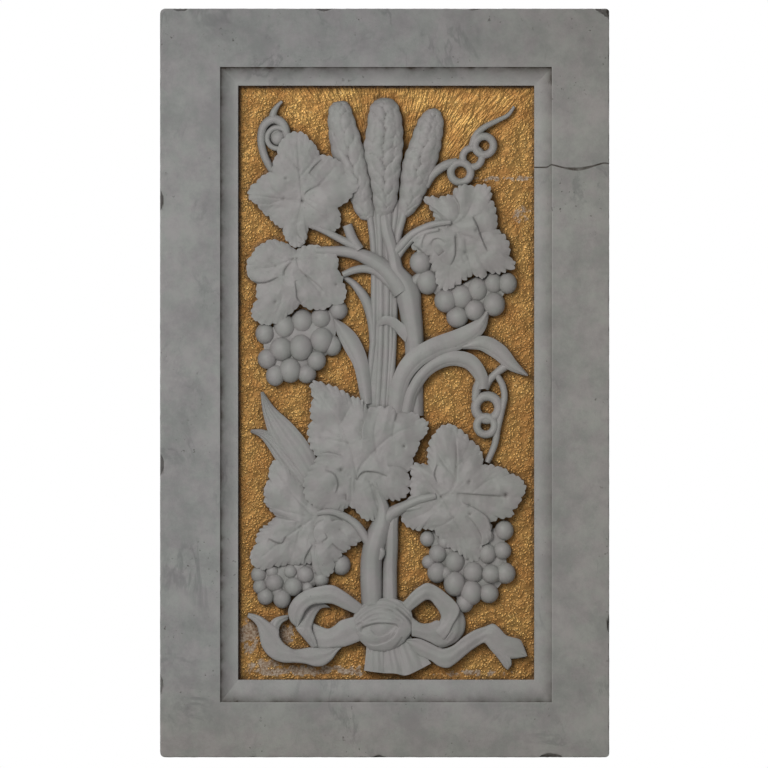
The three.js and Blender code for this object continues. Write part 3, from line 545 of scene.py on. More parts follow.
def ear(one_edge, other_edge, heights, seed):
    """An ear: a round swelling, and on it four rows of long grains. Each grain is half an egg, its
    height the root of one less the squares of the distances along and across it; rows lean outwards
    from the middle and their grains step past one another, and where grains meet the higher shows.
    The grains at the sides push the outline out by the size of a sine."""
    ROWS, PER_ROW, TALL, LONG, WIDE, LEAN = 180, 10, 2.7, 13.5, 7.0, 0.5
    one, other = smooth(one_edge, ROWS), smooth(other_edge, ROWS)
    aside = (other - one) / np.linalg.norm(other - one, axis=1, keepdims=True)
    push = 1.3 * np.abs(np.sin(np.linspace(0, math.pi * PER_ROW, ROWS)))[:, None] - 0.6
    length = abs(one_edge[-1][1] - one_edge[0][1])
    rng = np.random.default_rng(seed)

    def crown(across, half, along):
        swell = half * 0.42 * np.sqrt(np.clip(1 - across ** 2 * 0.97, 0, 1))
        grains = np.zeros(np.broadcast(across, half).shape)
        for row, (seat, lean) in enumerate(((-0.34, -LEAN), (0.34, LEAN), (-0.84, -LEAN), (0.84, LEAN))):
            for k in range(PER_ROW + 1):
                off, turn, size = rng.uniform(-1, 1, 3)
                middle = (k + (0.5 if row in (1, 2) else 0.0) + 0.16 * off) / PER_ROW * length
                up = along * length - middle
                out = (across - seat - 0.06 * turn) * half
                far = (up * math.cos(lean) - out * math.sin(lean)) / (LONG * (1 + 0.14 * size))
                wide = (out * math.cos(lean) + up * math.sin(lean)) / (WIDE * (1 + 0.12 * turn))
                tall = TALL * (1 + 0.3 * size)
                grains = np.maximum(grains, tall * np.sqrt(np.clip(1 - far ** 2 - wide ** 2, 0, 1)))
        weathered = 0.35 * unevenness(across * half, along * length, 2.6, seed)
        return swell + grains * np.clip(1.15 - np.abs(across), 0, 1) ** 0.5 + weathered - 1.6

    return between(one - aside * push, other + aside * push, heights, ROWS, 57, crown, 0.9)


EARS = [
    ([(-60, 376.5), (-70, 373), (-75, 362), (-75.5, 345), (-73.5, 325), (-70, 305), (-62, 283), (-52, 262),
      (-46, 248), (-42, 235), (-34, 221), (-27, 217)],
     [(-56, 377), (-48.5, 373.5), (-43.5, 362), (-39, 348), (-33, 330), (-28, 312), (-24, 292),
      (-20.5, 274),
      (-18, 258), (-16, 242), (-13.5, 225), (-19, 217.5)],
     [(6, 6), (8, 8), (9, 10), (9, 11), (9, 11), (10, 12), (9, 10), (7, 8)], 61),
    ([(58, 365.5), (49, 357), (43.5, 347), (38, 333), (33, 319), (28, 307), (24, 294), (22, 279),
      (20.5, 262),
      (19, 245), (18, 231), (23, 222)],
     [(68, 367), (76, 359), (78.5, 343), (76.5, 328), (74.5, 313), (71, 299), (67, 285), (62, 272),
      (57, 260),
      (50.5, 245), (42, 231), (31, 221)],
     [(6, 6), (8, 8), (10, 9), (11, 9), (11, 9), (11, 10), (9, 9), (7, 7)], 62),
    ([(-6, 380.5), (-15, 375), (-20, 366), (-22.5, 350), (-25, 332), (-27.5, 318), (-26, 302), (-22, 285),
      (-18.5, 267), (-16, 250), (-13.5, 232), (-7, 221)],
     [(3, 381), (13, 377), (19.5, 366), (23, 350), (24.3, 334), (24.5, 318), (23, 303), (21, 286),
      (19, 266), (17, 249), (13, 233), (4, 221)],
     [(9, 9), (13, 13), (14, 14), (15, 15), (15, 15), (14, 14), (13, 13), (10, 10)], 63),
]
carved = [piece("wheat_ears", [ear(*stations) for stations in EARS], carved_marble)]


# ======== The straws and the blades of the wheat ========
# Five round stalks run down from the ears behind the vine, and long pointed leaves fold out from them
# to either side, all worked in the solid.
def stem(stations, rows, columns=15, flutes=0.0):
    """A round rod along stations [x, z, radius, top height]: across it the top falls away as a circle
    does, with shallow flutes along it where they are asked for."""
    def crown(across, half, along):
        rounded = half * np.sqrt(np.clip(1 - across ** 2, 0, 1))
        return rounded - flutes * np.abs(np.sin(4.2 * across + 1.3 + 2 * along))

    lying = [(x, z, r, top - r, top - r) for x, z, r, top in stations]
    return strip(lying, rows, columns, crown)


STRAWS = [
    [(-26, 244, 4, 11), (-20, 222, 4.5, 13), (-15, 180, 4.5, 13), (-14, 120, 4.5, 13), (-16, 50, 4.5, 14),
     (-25, -30, 5, 13)],
    [(-8, 246, 4, 13), (-8, 224, 4.5, 14), (-6, 180, 4.5, 14), (-5, 100, 4.5, 14), (-6, 40, 4.5, 15),
     (-10, -36, 5, 14)],
    [(6, 246, 4, 13), (5, 224, 5.5, 14), (4, 180, 5.5, 15), (3, 100, 4.5, 15), (2, 40, 4.5, 15),
     (-2, -36, 5, 14)],
    [(30, 244, 4, 11), (24, 220, 5, 13), (17, 190, 5, 14), (14, 130, 4, 12), (13, 80, 4, 12),
     (10, 20, 4.5, 14), (6, -36, 5, 13)],
    [(16, 244, 3, 10), (14, 222, 4, 12), (9, 180, 4, 12), (8, 100, 4, 13), (8, 40, 4, 14), (2, -36, 5, 13)],
]
BED = ([(-24, 242), (-19, 222), (-16, 180), (-16, 120), (-15, 60), (-22, 10), (-27, -36)],
       [(26, 242), (22, 222), (18, 180), (15, 120), (14, 60), (12, 10), (10, -40)],
       [(9, 9), (11, 11), (12, 12), (12, 12)])
BAND = ([(-10, 83), (-4, 88), (3, 89.5), (13.7, 87), (23.8, 79.5), (32, 72)],
        [(-9, 73.5), (-2, 77.5), (4, 77.5), (12.5, 72), (19, 63.5), (28, 54)],
        [(14, 13), (19, 16.5), (20, 17), (20, 17), (21, 18)])
straws = [stem(stations, 90) for stations in STRAWS]
straws += [  # the stone left between them, and the band that holds them
    between(*BED, 60, 15, lambda across, half, along: 0.6 * (1 - across ** 2)),
    between(*BAND, 60, 17, lambda across, half, along: 1.4 * (1 - across ** 2)),
]
carved.append(piece("straws", straws, carved_marble))

BLADES = [
    [(-67, 85, 2, 12, 12), (-56, 70, 9, 13, 13), (-44, 52, 12, 14, 14), (-31, 22, 10, 14, 14),
     (-24, -28, 7, 13, 13)],
    [(14, -40, 10, 16, 16), (22, 4, 11.5, 19, 19), (39, 30, 13, 21.5, 21), (66, 47, 13, 21, 19),
     (100, 59, 13.5, 18, 16), (125, 75, 10, 16, 15), (138, 97, 2, 14, 14)],
    [(30, -40, 8, 18, 14), (38, -10, 8, 19, 15), (57, 17, 8, 19, 15), (85, 32, 9.5, 18, 14),
     (112, 29, 10.5, 17, 13), (128, 10, 9, 16, 13), (131, -8, 7, 14, 13)],
    [(104, 48, 3, 14, 14), (130, 53, 10, 17, 16), (152, 42, 11, 17, 16), (170, 24, 8, 15, 14),
     (191, 10, 1.5, 12, 12)],
    [(-164, -12, 2, 11, 11), (-154, -38, 9, 13, 13), (-137, -66, 18, 14, 14), (-116, -98, 21, 15, 15),
     (-98, -130, 16, 15, 15)],
    [(-179, -64, 2, 11, 11), (-163, -68, 6, 12, 12), (-148, -80, 10, 13, 13), (-128, -104, 14, 14, 14),
     (-106, -132, 12, 14, 14)],
]


def blade(stations, ribbed):
    """A long leaf: a low round face between thin edges, with a line cut along it and, where it is
    ribbed, a second line and ribs that follow the cosine of sixteen times the way across."""
    def crown(across, half, along):
        ribs = 0.35 * ribbed * np.cos(16 * across + 1.2 * along)
        lines = 0.5 * np.exp(-((across - 0.55) / 0.09) ** 2)
        lines = lines + 0.4 * ribbed * np.exp(-((across + 0.45) / 0.07) ** 2)
        face = 4.2 * (1 - np.abs(across) ** 1.8) + ribs * (1 - across ** 4)
        return face - lines * np.sin(math.pi * along) ** 0.5

    return strip(stations, 90, 43, crown)


RIBBED = (0, 0, 0, 0, 1, 1)
blades = [blade(stations, ribbed) for stations, ribbed in zip(BLADES, RIBBED)]
carved.append(piece("blades", blades, carved_marble))


# ======== The vines ========
# Two thick stems, one behind the straws and one below, with branches and leafstalks growing from
# them. Round rods in high relief that overlap where they meet.
TRUNKS = [
    [(40, -44, 12, 15), (39, 0, 12.5, 16), (39.5, 50, 12.5, 23), (37, 75, 14, 25), (34, 100, 15, 26),
     (31, 118, 17, 25), (25, 134, 14.5, 24), (15.5, 150, 10.5, 24), (12.5, 166, 9, 22), (9, 182, 8.5, 20),
     (3, 203, 8.5, 18), (0, 226, 8, 15), (0, 244, 6, 12)],
    [(-17, -296, 14, 24), (-18, -262, 14.5, 25), (-17, -232, 14.5, 26), (-10, -206, 15, 26),
     (-3, -186, 13, 25), (-2, -168, 9, 23), (-7, -150, 6, 22), (-12, -134, 4.5, 26)],
    [(7, -296, 10, 21), (7, -250, 9.5, 20), (9, -215, 9, 21), (10, -190, 8, 21), (14, -172, 6, 20)],
]
BRANCHES = [
    [(24, 122, 14, 25), (13, 138, 13, 25), (1, 151, 12, 24), (-14, 162, 11, 23), (-30, 170, 9, 21),
     (-43, 174, 8, 20),
     (-60, 176, 7, 19), (-92, 177, 5, 20)],
    [(-34, 180, 6, 21), (-55, 190, 5, 20), (-78, 202, 4.5, 20), (-97, 211, 4.5, 21)],
    [(-34, 178, 7, 21), (-43, 192, 7, 20), (-50, 211, 6.5, 19)],
    [(33, 104, 8, 8), (24, 115, 8, 14), (14, 127, 8, 20), (2, 139, 7.5, 20), (-11, 149, 6.5, 19),
     (-26, 152.5, 5.5, 18), (-41, 150.5, 5, 18), (-56, 144.5, 4, 18)],
    [(-56, 142, 3, 12), (-40, 131, 5, 13), (-24, 108, 7, 14), (-17, 80, 6, 14), (-15, 50, 5, 14)],
    [(10, 170, 6, 19), (20, 181, 6, 20), (34, 196, 5.5, 21), (48, 205, 5, 22), (66, 212, 4.5, 26),
     (88, 215, 3, 28.6)],
    [(14, 164, 5, 18), (27, 182, 4.5, 18), (42, 195, 4, 20), (58, 202, 3.5, 24), (72, 205, 2.5, 26)],
    [(30, 126, 9, 19), (40, 136, 7, 17), (50, 146, 5, 15)],
    [(-9, -218, 3.5, 22), (-3.5, -226, 4.5, 24), (-7, -236, 3, 22)],
    [(-18, -222, 6, 19), (-26, -206, 6, 21), (-38, -189, 5.5, 23), (-54, -178, 5, 24), (-72, -172, 4.5, 25),
     (-90, -174, 3.5, 25)],
    [(-2, -186, 10, 23), (10, -174, 9, 24), (26, -165, 7, 25), (46, -156, 6, 27), (68, -151, 4.5, 28)],
    [(22, -166, 5, 23), (34, -168, 4, 23), (48, -166, 3, 24)],
]
vines = [stem(stations, 100, 25, 0.7) for stations in TRUNKS]
vines += [stem(stations, 70, 19, 0.25) for stations in BRANCHES]
carved.append(piece("vines", vines, carved_marble))


# ======== The tendrils ========
# Thin round shoots that climb and curl at the field's edges; their curls are rings with open eyes,
# cut through to the gilding.
TENDRILS = [
    [(-150, 283, 5, 15), (-160, 302, 5.2, 15), (-165, 323, 5.2, 15), (-162, 342, 5.5, 15),
     (-150, 352, 6, 16),
     (-137, 347, 6, 16), (-131, 332, 5.5, 15), (-134, 318, 5, 14)],
    [(-150, 352, 5.5, 15), (-148, 362, 4.5, 14), (-143, 370, 3, 13), (-137, 376, 1.8, 12)],
    [(55, 262, 5, 13), (62, 275, 5.5, 15), (72, 285, 6, 16), (84, 292, 6, 16), (97, 296, 5, 14)],
    [(116, 316, 4.5, 14), (122, 331, 4.5, 15), (134, 342, 4, 15), (152, 351, 3.2, 13), (165, 358, 2.6, 12),
     (173, 369, 1.8, 11)],
    [(163, 24, 6, 16), (150, 14, 5, 15), (140, 4, 5, 15), (134, -8, 5, 14)],
    [(128, 4, 6, 16), (123, -8, 6, 15), (121, -24, 5, 14)],
    [(150, 10, 4, 14), (157, -2, 4.5, 14), (160, -18, 4.5, 14), (156, -38, 4.5, 14), (151, -60, 4.5, 14),
     (147, -82, 4.5, 13), (137, -106, 4, 13)],
]
CURLS = [(101.5, 281, 18.5, 8, 16), (117, 301, 17.5, 8, 15), (133, 317, 17.5, 7, 16), (137, -33, 22, 9, 15),
         (135, -57, 17, 6.5, 16), (-143, 327, 17.5, 10.5, 15)]


def curl(x, z, outer, hole, top):
    """A ring round an open eye: half a round section on straight walls, carried round a circle."""
    half, middle = (outer - hole) / 2, (outer + hole) / 2
    bow = np.linspace(0, math.pi, 13)
    radius = np.concatenate([middle + half * np.cos(bow), [hole, outer]])
    height = np.concatenate([top - half + half * np.sin(bow), [ROOT, ROOT]])
    turn = np.linspace(0, 2 * math.pi, 56, endpoint=False)[:, None]
    height = np.repeat(height[None], 56, 0)
    return skin(np.stack([x + radius * np.cos(turn), z + radius * np.sin(turn), height], -1), ring=True)


def berry(x, z, size, top, tall=1.0):
    """A ball on a straight foot: rings whose width and height follow the sine and cosine of the angle
    from the top, down past its widest ring."""
    lean = np.linspace(0.12, math.pi * 0.56, 13)
    radius = np.append(size * np.sin(lean), size * 0.8)[:, None]
    height = np.append(top - size + size * np.cos(lean), ROOT)
    turn = np.linspace(0, 2 * math.pi, 24, endpoint=False)[None]
    height = np.repeat(height[:, None], 24, 1)
    return skin(np.stack([x + radius * np.cos(turn), z + radius * tall * np.sin(turn), height], -1))


tendrils = [stem(stations, 70, 15) for stations in TENDRILS] + [curl(*sizes) for sizes in CURLS]
tendrils += [berry(-142, 327, 10.5, 17), berry(-145, 333, 15, 12)]  # its ball, and the stone round that
carved.append(piece("tendrils", tendrils, carved_marble))


# ======== The vine leaves ========
# Six broad leaves that lie over the grapes, the highest part of the carving. Each has a toothed
# edge, incised veins and soft swellings between them, and here and there a lobe folded over another.
def mound(middle, edge, parts, surface, lip=3.0, inner=None):
    """A form spread from its middle to a closed edge: rings that shrink toward the middle and turn
    there, with the tenth power of the part of the way out, from the edge into a smoother inner one,
    with surface(x, z, part) for height; past the edge the skin turns over a lip and runs down."""
    middle = np.asarray(middle, float)
    part = np.asarray(parts)[:, None]
    out, plain = edge - middle, (edge if inner is None else inner) - middle
    reach = np.linalg.norm(out, axis=1)[None]
    x, z = (middle[k] + (plain[:, k] + (out - plain)[:, k] * part ** 10) * part for k in (0, 1))
    top = surface(x, z, np.repeat(part, len(edge), 1))
    drawn = 1 - np.array([0.1, 0.9, 2.4, 3.6])[:, None] / reach
    below = top[-1:] - np.array([lip * 0.35, lip, lip * 2.2, 99])[:, None]
    wall = np.stack([middle[0] + out[:, 0] * drawn, middle[1] + out[:, 1] * drawn,
                     np.maximum(below, ROOT)], -1)
    return skin(np.concatenate([np.stack([x, z, top], -1), wall]))


def toothed(outline, tooth, pitch, seed):
    """The edge of a leaf and the smooth run inside it. The run is closed and passes through the
    notches; from it each span between two notches bows out as a sine, and all round stand small
    teeth that rise slowly and fall fast, some larger than others."""
    outline = np.array(outline, float)
    area = (outline[:, 0] * np.roll(outline[:, 1], -1) - np.roll(outline[:, 0], -1) * outline[:, 1]).sum()
    notches = outline if area > 0 else outline[::-1]
    PER_SPAN = 16
    run = smooth(notches, len(notches) * PER_SPAN, closed=True)
    step = np.roll(run, -1, 0) - np.roll(run, 1, 0)
    length = np.linalg.norm(step, axis=1)
    normal = np.stack([step[:, 1], -step[:, 0]], -1) / length[:, None]
    chord = np.repeat(np.linalg.norm(np.roll(notches, -1, 0) - notches, axis=1), PER_SPAN)
    within = np.tile(np.arange(PER_SPAN) / PER_SPAN, len(notches))
    saw = (within * np.maximum(np.round(chord / pitch), 1)) % 1
    uneven = 1 + 0.5 * unevenness(run[:, 0], run[:, 1], 14, seed)
    teeth = np.where(saw < 0.72, (saw / 0.72) ** 0.7, (1 - saw) / 0.28) - 0.6
    bow = chord * 0.08 * np.sin(math.pi * within) + tooth * uneven * teeth
    bow = bow + 0.7 * unevenness(run[:, 0], run[:, 1], 4, seed + 7)
    return run + normal * bow[:, None], run


def leaf(middle, rim, crown, outline, veins=(), folds=(), bosses=(), seed=0, tooth=2.0, pitch=9.0):
    """A leaf: a low dome; swellings that rise with the distance from the nearest vein; a cut line along
    each vein; a step at each fold, highest halfway along it, that starts softly and fades away from it;
    and soft bosses or pits. The top is held below the slab's face by the root of the gap's square
    plus one."""
    def surface(x, z, part):
        top = rim + (crown - rim) * (1 - part ** 2.2) - 1.2 * part ** 14
        nearest = np.full(x.shape, 1e9)
        for line in veins:
            away, _, share = beside(x, z, smooth(line, 12))
            nearest = np.minimum(nearest, away)
            top = top - 0.9 * np.exp(-(away / 1.7) ** 2) * (1 - 0.6 * share)
        top = top + 2.4 * (1 - np.exp(-(nearest / 15) ** 2)) - 1.6
        for line, depth, fade in folds:
            away, side, share = beside(x, z, smooth(line, 14))
            step = depth * np.clip(4 * share * (1 - share), 0, 1) ** 0.5 * np.exp(-away / fade)
            top = top + np.where(side < 0, -step, 0.45 * step) * np.tanh(away / 0.9)
        for bx, bz, size, rise in bosses:
            top = top + rise * np.exp(-((x - bx) ** 2 + (z - bz) ** 2) / size ** 2)
        top = top + 2.2 * unevenness(x, z, 30, seed) + 0.9 * unevenness(x, z, 13, seed + 50)
        top = top + 0.3 * unevenness(x, z, 4.5, seed + 70)
        gap = SINK - 1.5 - top
        return SINK - 1.5 - 0.5 * (gap + np.sqrt(gap ** 2 + 1))

    parts = 1 - (1 - np.linspace(0.02, 1, 62)) ** 1.12
    edge, inner = toothed(outline, tooth, pitch, seed)
    return mound(middle, edge, parts, surface, inner=inner)


upper_left_leaf = leaf(
    (-112, 250), 19, 26,
    [(-116, 335), (-100, 325), (-86, 305), (-68, 300), (-50, 283), (-36, 266), (-42, 252), (-62, 234),
     (-59, 222), (-64, 205), (-82, 205), (-101, 206), (-106, 190), (-117, 181), (-129, 188), (-137, 206),
     (-155, 222), (-170, 238), (-182, 251), (-172, 268), (-152, 283), (-144, 306), (-133, 328)],
    veins=[[(-110, 243), (-114, 285), (-117, 330)], [(-110, 243), (-140, 246), (-172, 250)],
           [(-110, 243), (-107, 252), (-90, 263), (-52, 272)], [(-110, 243), (-88, 228), (-68, 212)],
           [(-110, 243), (-116, 215), (-117, 190)], [(-114, 285), (-130, 300), (-138, 312)],
           [(-113, 275), (-100, 290), (-92, 300)], [(-88, 263), (-74, 280), (-64, 290)],
           [(-135, 246), (-150, 260), (-156, 272)], [(-135, 246), (-150, 236), (-158, 228)]],
    folds=[([(-102, 280), (-94, 290), (-84, 299)], 3.0, 8),
           ([(-108, 247), (-104, 256), (-88, 264)], 1.6, 6),
           ([(-140, 243), (-155, 238), (-170, 240)], 1.8, 7),
           ([(-118, 214), (-116, 200), (-108, 190)], 1.8, 7)],
    bosses=[(-152, 255, 16, 2.0), (-126, 302, 14, 1.8), (-64, 264, 18, 1.8), (-80, 236, 14, 1.6),
            (-131.6, 273.4, 2.4, -2.0),
            (-122, 262, 12, -2.2), (-92, 250, 10, -1.8)], seed=21, tooth=1.6)

left_leaf = leaf(
    (-116, 140), 19, 26,
    [(-104, 184), (-118, 178), (-140, 189), (-160, 188), (-178, 170), (-184, 158), (-180, 140), (-171, 132),
     (-171, 112), (-178, 93), (-170, 82), (-150, 79), (-130, 90), (-113, 104), (-95, 98), (-70, 104),
     (-54, 110), (-55, 134), (-63, 152), (-63, 168), (-74, 177)],
    veins=[[(-122, 166), (-133, 153), (-136, 143), (-137.6, 125), (-138, 110), (-145, 92)],
           [(-117, 166), (-114, 153), (-107.5, 146), (-93, 134.7), (-78.8, 122), (-66, 113)],
           [(-105, 143), (-87.4, 122), (-83, 108)], [(-122, 166), (-146, 156), (-165, 152.5), (-178, 152)],
           [(-118, 166), (-100, 168), (-72, 165)], [(-146, 156), (-158, 168), (-160, 184)]],
    folds=[([(-177.7, 137), (-167.6, 134), (-154.8, 136), (-142, 142)], 3.2, 8),
           ([(-136, 143), (-133, 153), (-124, 163)], 2.4, 7),
           ([(-111, 105), (-117.5, 113), (-118.2, 122), (-120.4, 137)], 3.4, 7),
           ([(-114, 153), (-107.5, 146), (-93, 135), (-79, 122)], 1.8, 8)],
    bosses=[(-158, 105, 15, 2.2), (-160, 172, 14, 1.8), (-72, 142, 14, 1.8), (-105, 118, 10, 1.6),
            (-145.6, 108, 2.4, -2.2),
            (-64.5, 131.5, 2.2, -1.8), (-130, 128, 9, 1.8)], seed=22, tooth=1.4)

upper_right_leaf = leaf(
    (108, 200), 19, 27,
    [(52, 247), (72, 248), (90, 252), (97, 262), (120, 263), (138, 263), (143, 245), (149, 226), (150, 206),
     (163, 192), (167, 170), (174, 157), (163, 150), (148, 146), (137, 148), (132, 140), (118, 144),
     (104, 136), (94, 130), (76, 125), (67, 148), (58, 168), (42, 176), (38, 188), (66, 212), (64, 228),
     (58, 238)],
    veins=[[(85, 208), (100, 228), (92, 250)], [(88, 210), (106, 220), (117, 240), (124, 258)],
           [(100, 200), (128, 188), (160, 162)],
           [(96, 200), (94.4, 173), (87.8, 157), (86, 135)], [(80, 212), (72, 225), (62, 242)],
           [(128.8, 200.5), (146, 201.8)],
           [(108, 190), (112, 166), (118, 148)]],
    folds=[([(92, 252), (99, 240), (101, 226)], 2.4, 7),
           ([(136.7, 175.5), (128, 196), (123, 210), (117, 222)], 4.2, 9),
           ([(87.8, 157), (94.4, 173), (93, 198)], 3.0, 7), ([(80, 175.5), (72, 169)], 3.4, 5),
           ([(61.4, 163.7), (52, 166)], 3.0, 5), ([(37.6, 186), (50, 176), (61.4, 163.7)], 3.0, 6),
           ([(49, 180), (51, 193), (58, 203), (68, 207), (79, 204)], 2.4, 5),
           ([(60, 184), (65, 192), (74, 193), (82, 187)], 2.2, 5)],
    bosses=[(67, 182, 8, -1.6), (128, 245, 16, 1.8), (152, 170, 14, 2.0), (123.5, 204, 3, -2.4),
            (108, 174, 2.4, -2.2),
            (140, 215, 12, 1.8), (108, 150, 12, 1.6)], seed=23, tooth=2.6)

middle_leaf = leaf(
    (-28, -95), 20, 28,
    [(-97, 1), (-78, -2), (-60, -9), (-45, -18), (-32, -22), (-22, -33), (0, -32), (12, -32), (25, -37),
     (48, -46), (58, -58), (47, -78), (38, -100), (36, -112), (31, -120), (33, -140), (22, -155), (6, -156),
     (-3, -155), (-8, -174), (-20, -184), (-40, -169), (-48, -165), (-62, -172), (-84, -170), (-97, -163),
     (-108, -140), (-98, -115), (-92, -98), (-102, -72), (-98, -50), (-96, -20)],
    veins=[[(-37, -128), (-31.6, -110.7), (-11.8, -88.5), (10, -70), (40, -56)],
           [(-37, -128), (-60, -118), (-95, -107)],
           [(-37, -128), (-45, -92), (-60, -58), (-88, -14)], [(-40, -129), (-39, -148), (-30, -176)],
           [(-12, -92), (-14, -65), (-8, -40)], [(-50, -80), (-70, -76), (-95, -70)],
           [(-60, -55), (-48, -35), (-42, -24)],
           [(-44, -128), (-45, -150), (-42, -166)], [(10, -70), (14, -50), (16, -40)],
           [(-20, -132), (-14, -150), (-10, -168)]],
    folds=[([(-26.6, -50), (-31, -65), (-29.7, -75)], 3.4, 7),
           ([(13, -51.5), (15.4, -38), (10.5, -32)], 2.6, 6),
           ([(-58, -97), (-73.6, -93.4), (-87, -95)], 3.0, 6),
           ([(-36.5, -129), (-34, -123), (-26.6, -118), (-10.5, -119), (4, -124)], 3.2, 7),
           ([(-16, -134), (-8, -146), (-2, -158)], 3.4, 8), ([(-50.6, -148), (-50.6, -157)], 3.0, 4),
           ([(-66, -148), (-63, -135), (-68, -122), (-80, -117)], 3.0, 6),
           ([(30, -118), (18, -112), (4, -112)], 2.0, 7)],
    bosses=[(-80, -132, 14, 3.0), (-65, -137, 6, -3.2), (26, -84.6, 2.4, -2.6), (-58, -116, 2.6, -2.6),
            (-70, -38, 14, 2.2), (-70, -60, 15, -3.6), (-50, -50, 12, -3.0), (20, -60, 15, 2.2),
            (-14, -142, 8, 2.0),
            (12, -132, 13, 2.0), (-84, -96, 12, 1.6), (-10, -60, 12, 1.8)], seed=24, tooth=2.4)

lower_left_leaf = leaf(
    (-105, -190), 17, 25,
    [(-145, -103), (-155, -128), (-161, -152), (-155, -167), (-146, -178), (-157, -189), (-168, -198),
     (-172, -214),
     (-179, -236), (-167, -248), (-148, -245), (-129, -242), (-112, -242), (-98, -241), (-93, -254),
     (-83, -257),
     (-72, -256), (-66, -240), (-56, -228), (-45, -219), (-36, -214), (-29, -203), (-45, -185), (-70, -170),
     (-95, -155), (-120, -125)],
    veins=[[(-95, -178), (-120, -152), (-145, -120)], [(-97, -182), (-130, -205), (-168, -236)],
           [(-92, -212), (-92, -230), (-84, -254)],
           [(-60, -196), (-50, -204), (-38, -208)], [(-97, -178), (-130, -172), (-152, -165)],
           [(-112, -192), (-120, -220), (-126, -240)]],
    folds=[([(-118, -184), (-135, -181), (-152, -177)], 3.2, 8),
           ([(-108, -243), (-106, -232), (-96, -215)], 2.8, 7),
           ([(-80.6, -182.6), (-88, -185.5), (-93.4, -192), (-94.8, -203), (-90.5, -215)], 2.6, 6),
           ([(-84.9, -212), (-77.8, -206.6), (-80.6, -201)], 2.2, 4),
           ([(-55, -185), (-62, -182.6), (-70.7, -185.4)], 3.0, 6),
           ([(-69.3, -213.7), (-62, -220.7), (-50.8, -226.4)], 2.8, 6),
           ([(-154.4, -207.3), (-138.8, -213.7), (-133, -205)], 3.0, 7)],
    bosses=[(-145, -140, 14, 2.0), (-158, -228, 14, 2.2), (-85, -232, 12, 2.0), (-125, -160, 9, -2.0),
            (-60, -197, 8, -2.2),
            (-128, -219, 8, -3.2), (-106, -222, 9, 2.4), (-82, -195, 7, 1.6)], seed=25)

lower_right_leaf = leaf(
    (92, -145), 19, 28,
    [(57, -108), (59, -84), (68, -66), (82, -56), (98, -61), (114, -76), (128, -90), (132, -108),
     (148, -111),
     (168, -121), (187, -135), (183, -153), (172, -170), (171, -177), (152, -181), (142, -187), (143, -198),
     (140, -209), (131, -218), (129, -227),
     (119.5, -238), (104, -230), (96, -225), (79, -213), (66, -197), (50, -195), (40, -196), (22, -179),
     (34, -150), (36, -125), (38, -108)],
    veins=[[(76, -152), (89, -144), (95, -127), (96, -100), (95.5, -77), (92, -62)],
           [(78, -150), (96, -148), (130, -150), (160, -151)],
           [(75, -152), (60, -135), (45, -115)], [(76, -154), (92, -180), (104, -205), (118, -232)],
           [(75, -152), (60, -170), (35, -182)],
           [(118, -146), (138, -130), (162, -122)], [(96, -112), (112, -98), (126, -92)],
           [(92, -180), (76, -190), (60, -194)],
           [(92, -124), (76, -104), (66, -80)]],
    folds=[([(104, -160), (119.7, -166.6), (137.6, -179.7), (143.6, -198.7), (141, -215)], -3.6, 8),
           ([(61.9, -148.7), (57, -152), (52.9, -154.7)], 3.6, 6),
           ([(96, -78), (97, -104), (95, -127), (90, -143)], 2.6, 8),
           ([(96, -147), (128, -149), (160, -151)], 2.4, 8),
           ([(110, -176), (122, -190), (130, -206), (128, -222)], 2.4, 6),
           ([(70, -134), (66, -122), (70, -108)], 2.4, 6)],
    bosses=[(84, -102, 8, -2.6), (104, -98, 8, -2.0), (113, -132, 2.6, -2.6), (162, -150, 3.0, -4.0),
            (154, -144, 5.5, 2.4),
            (113, -164, 2.2, -2.2), (114, -175, 2.2, -2.2), (80, -80, 14, 2.2), (118, -112, 12, 1.8),
            (165, -136, 14, 1.8),
            (82, -188, 14, 2.2), (128, -196, 8, -2.0), (56, -120, 12, 1.6), (60, -172, 10, -1.8)],
    seed=26, tooth=2.2)
for name, skins in (("left_leaves", [upper_left_leaf, left_leaf]), ("upper_right_leaf", [upper_right_leaf]),
                    ("middle_leaf", [middle_leaf]), ("lower_leaves", [lower_left_leaf, lower_right_leaf])):
    carved.append(piece(name, skins, carved_marble))


# ======== The grapes ========
# Four bunches hang under the leaves, crowded balls of the same stone with deep drilled gaps between.
GRAPES = [
    (-134, 75, 14, 20), (-110, 82, 15, 19), (-85, 86, 13.5, 19), (-62, 97, 12, 18), (-160, 66, 12, 20),
    (-138, 45, 15, 25), (-112, 47, 15, 27), (-84, 57, 15, 25), (-157, 32, 12, 22), (-91, 30, 12, 23),
    (-126, 17, 14, 25), (-146, 10, 12, 22), (-104, 12, 12, 22), (-70, 50, 12, 19),
    (48, 161, 14, 25), (57, 135, 14, 23), (82, 110, 15, 24), (102, 115, 16, 22), (124, 125, 14, 20),
    (145, 133, 13, 19), (164, 133, 12, 21), (146, 105, 14, 24), (120, 97, 13, 24), (97, 88, 14, 23),
    (-147, -267, 11.5, 23), (-126, -252, 8.5, 19), (-106, -256, 11.5, 21), (-122, -272, 12, 23),
    (-137, -288, 11.5, 21),
    (-159, -285, 10.5, 19), (-168, -256, 10, 17), (-166, -272, 9.5, 17), (-85, -262, 10, 17),
    (-58, -243, 12, 17), (-103, -274, 7.5, 18),
    (-150, -252, 9, 17), (-143, -278, 8, 17),
    (57, -208, 9.5, 18), (71, -228, 11.5, 21), (59, -239, 9, 17), (70, -253, 12.5, 22),
    (93.5, -239, 13, 23), (93.5, -268, 14, 26),
    (118, -253, 13, 25), (115.5, -280, 14, 26), (107, -294, 11, 21), (137, -228, 11.5, 22),
    (142, -255, 12, 25), (139, -281, 12.5, 23),
    (159.5, -197, 12, 19), (157, -224, 11.5, 21), (161, -254, 13, 22), (136, -204, 9, 22),
    (80, -212, 9, 19), (82, -254, 9, 20),
]
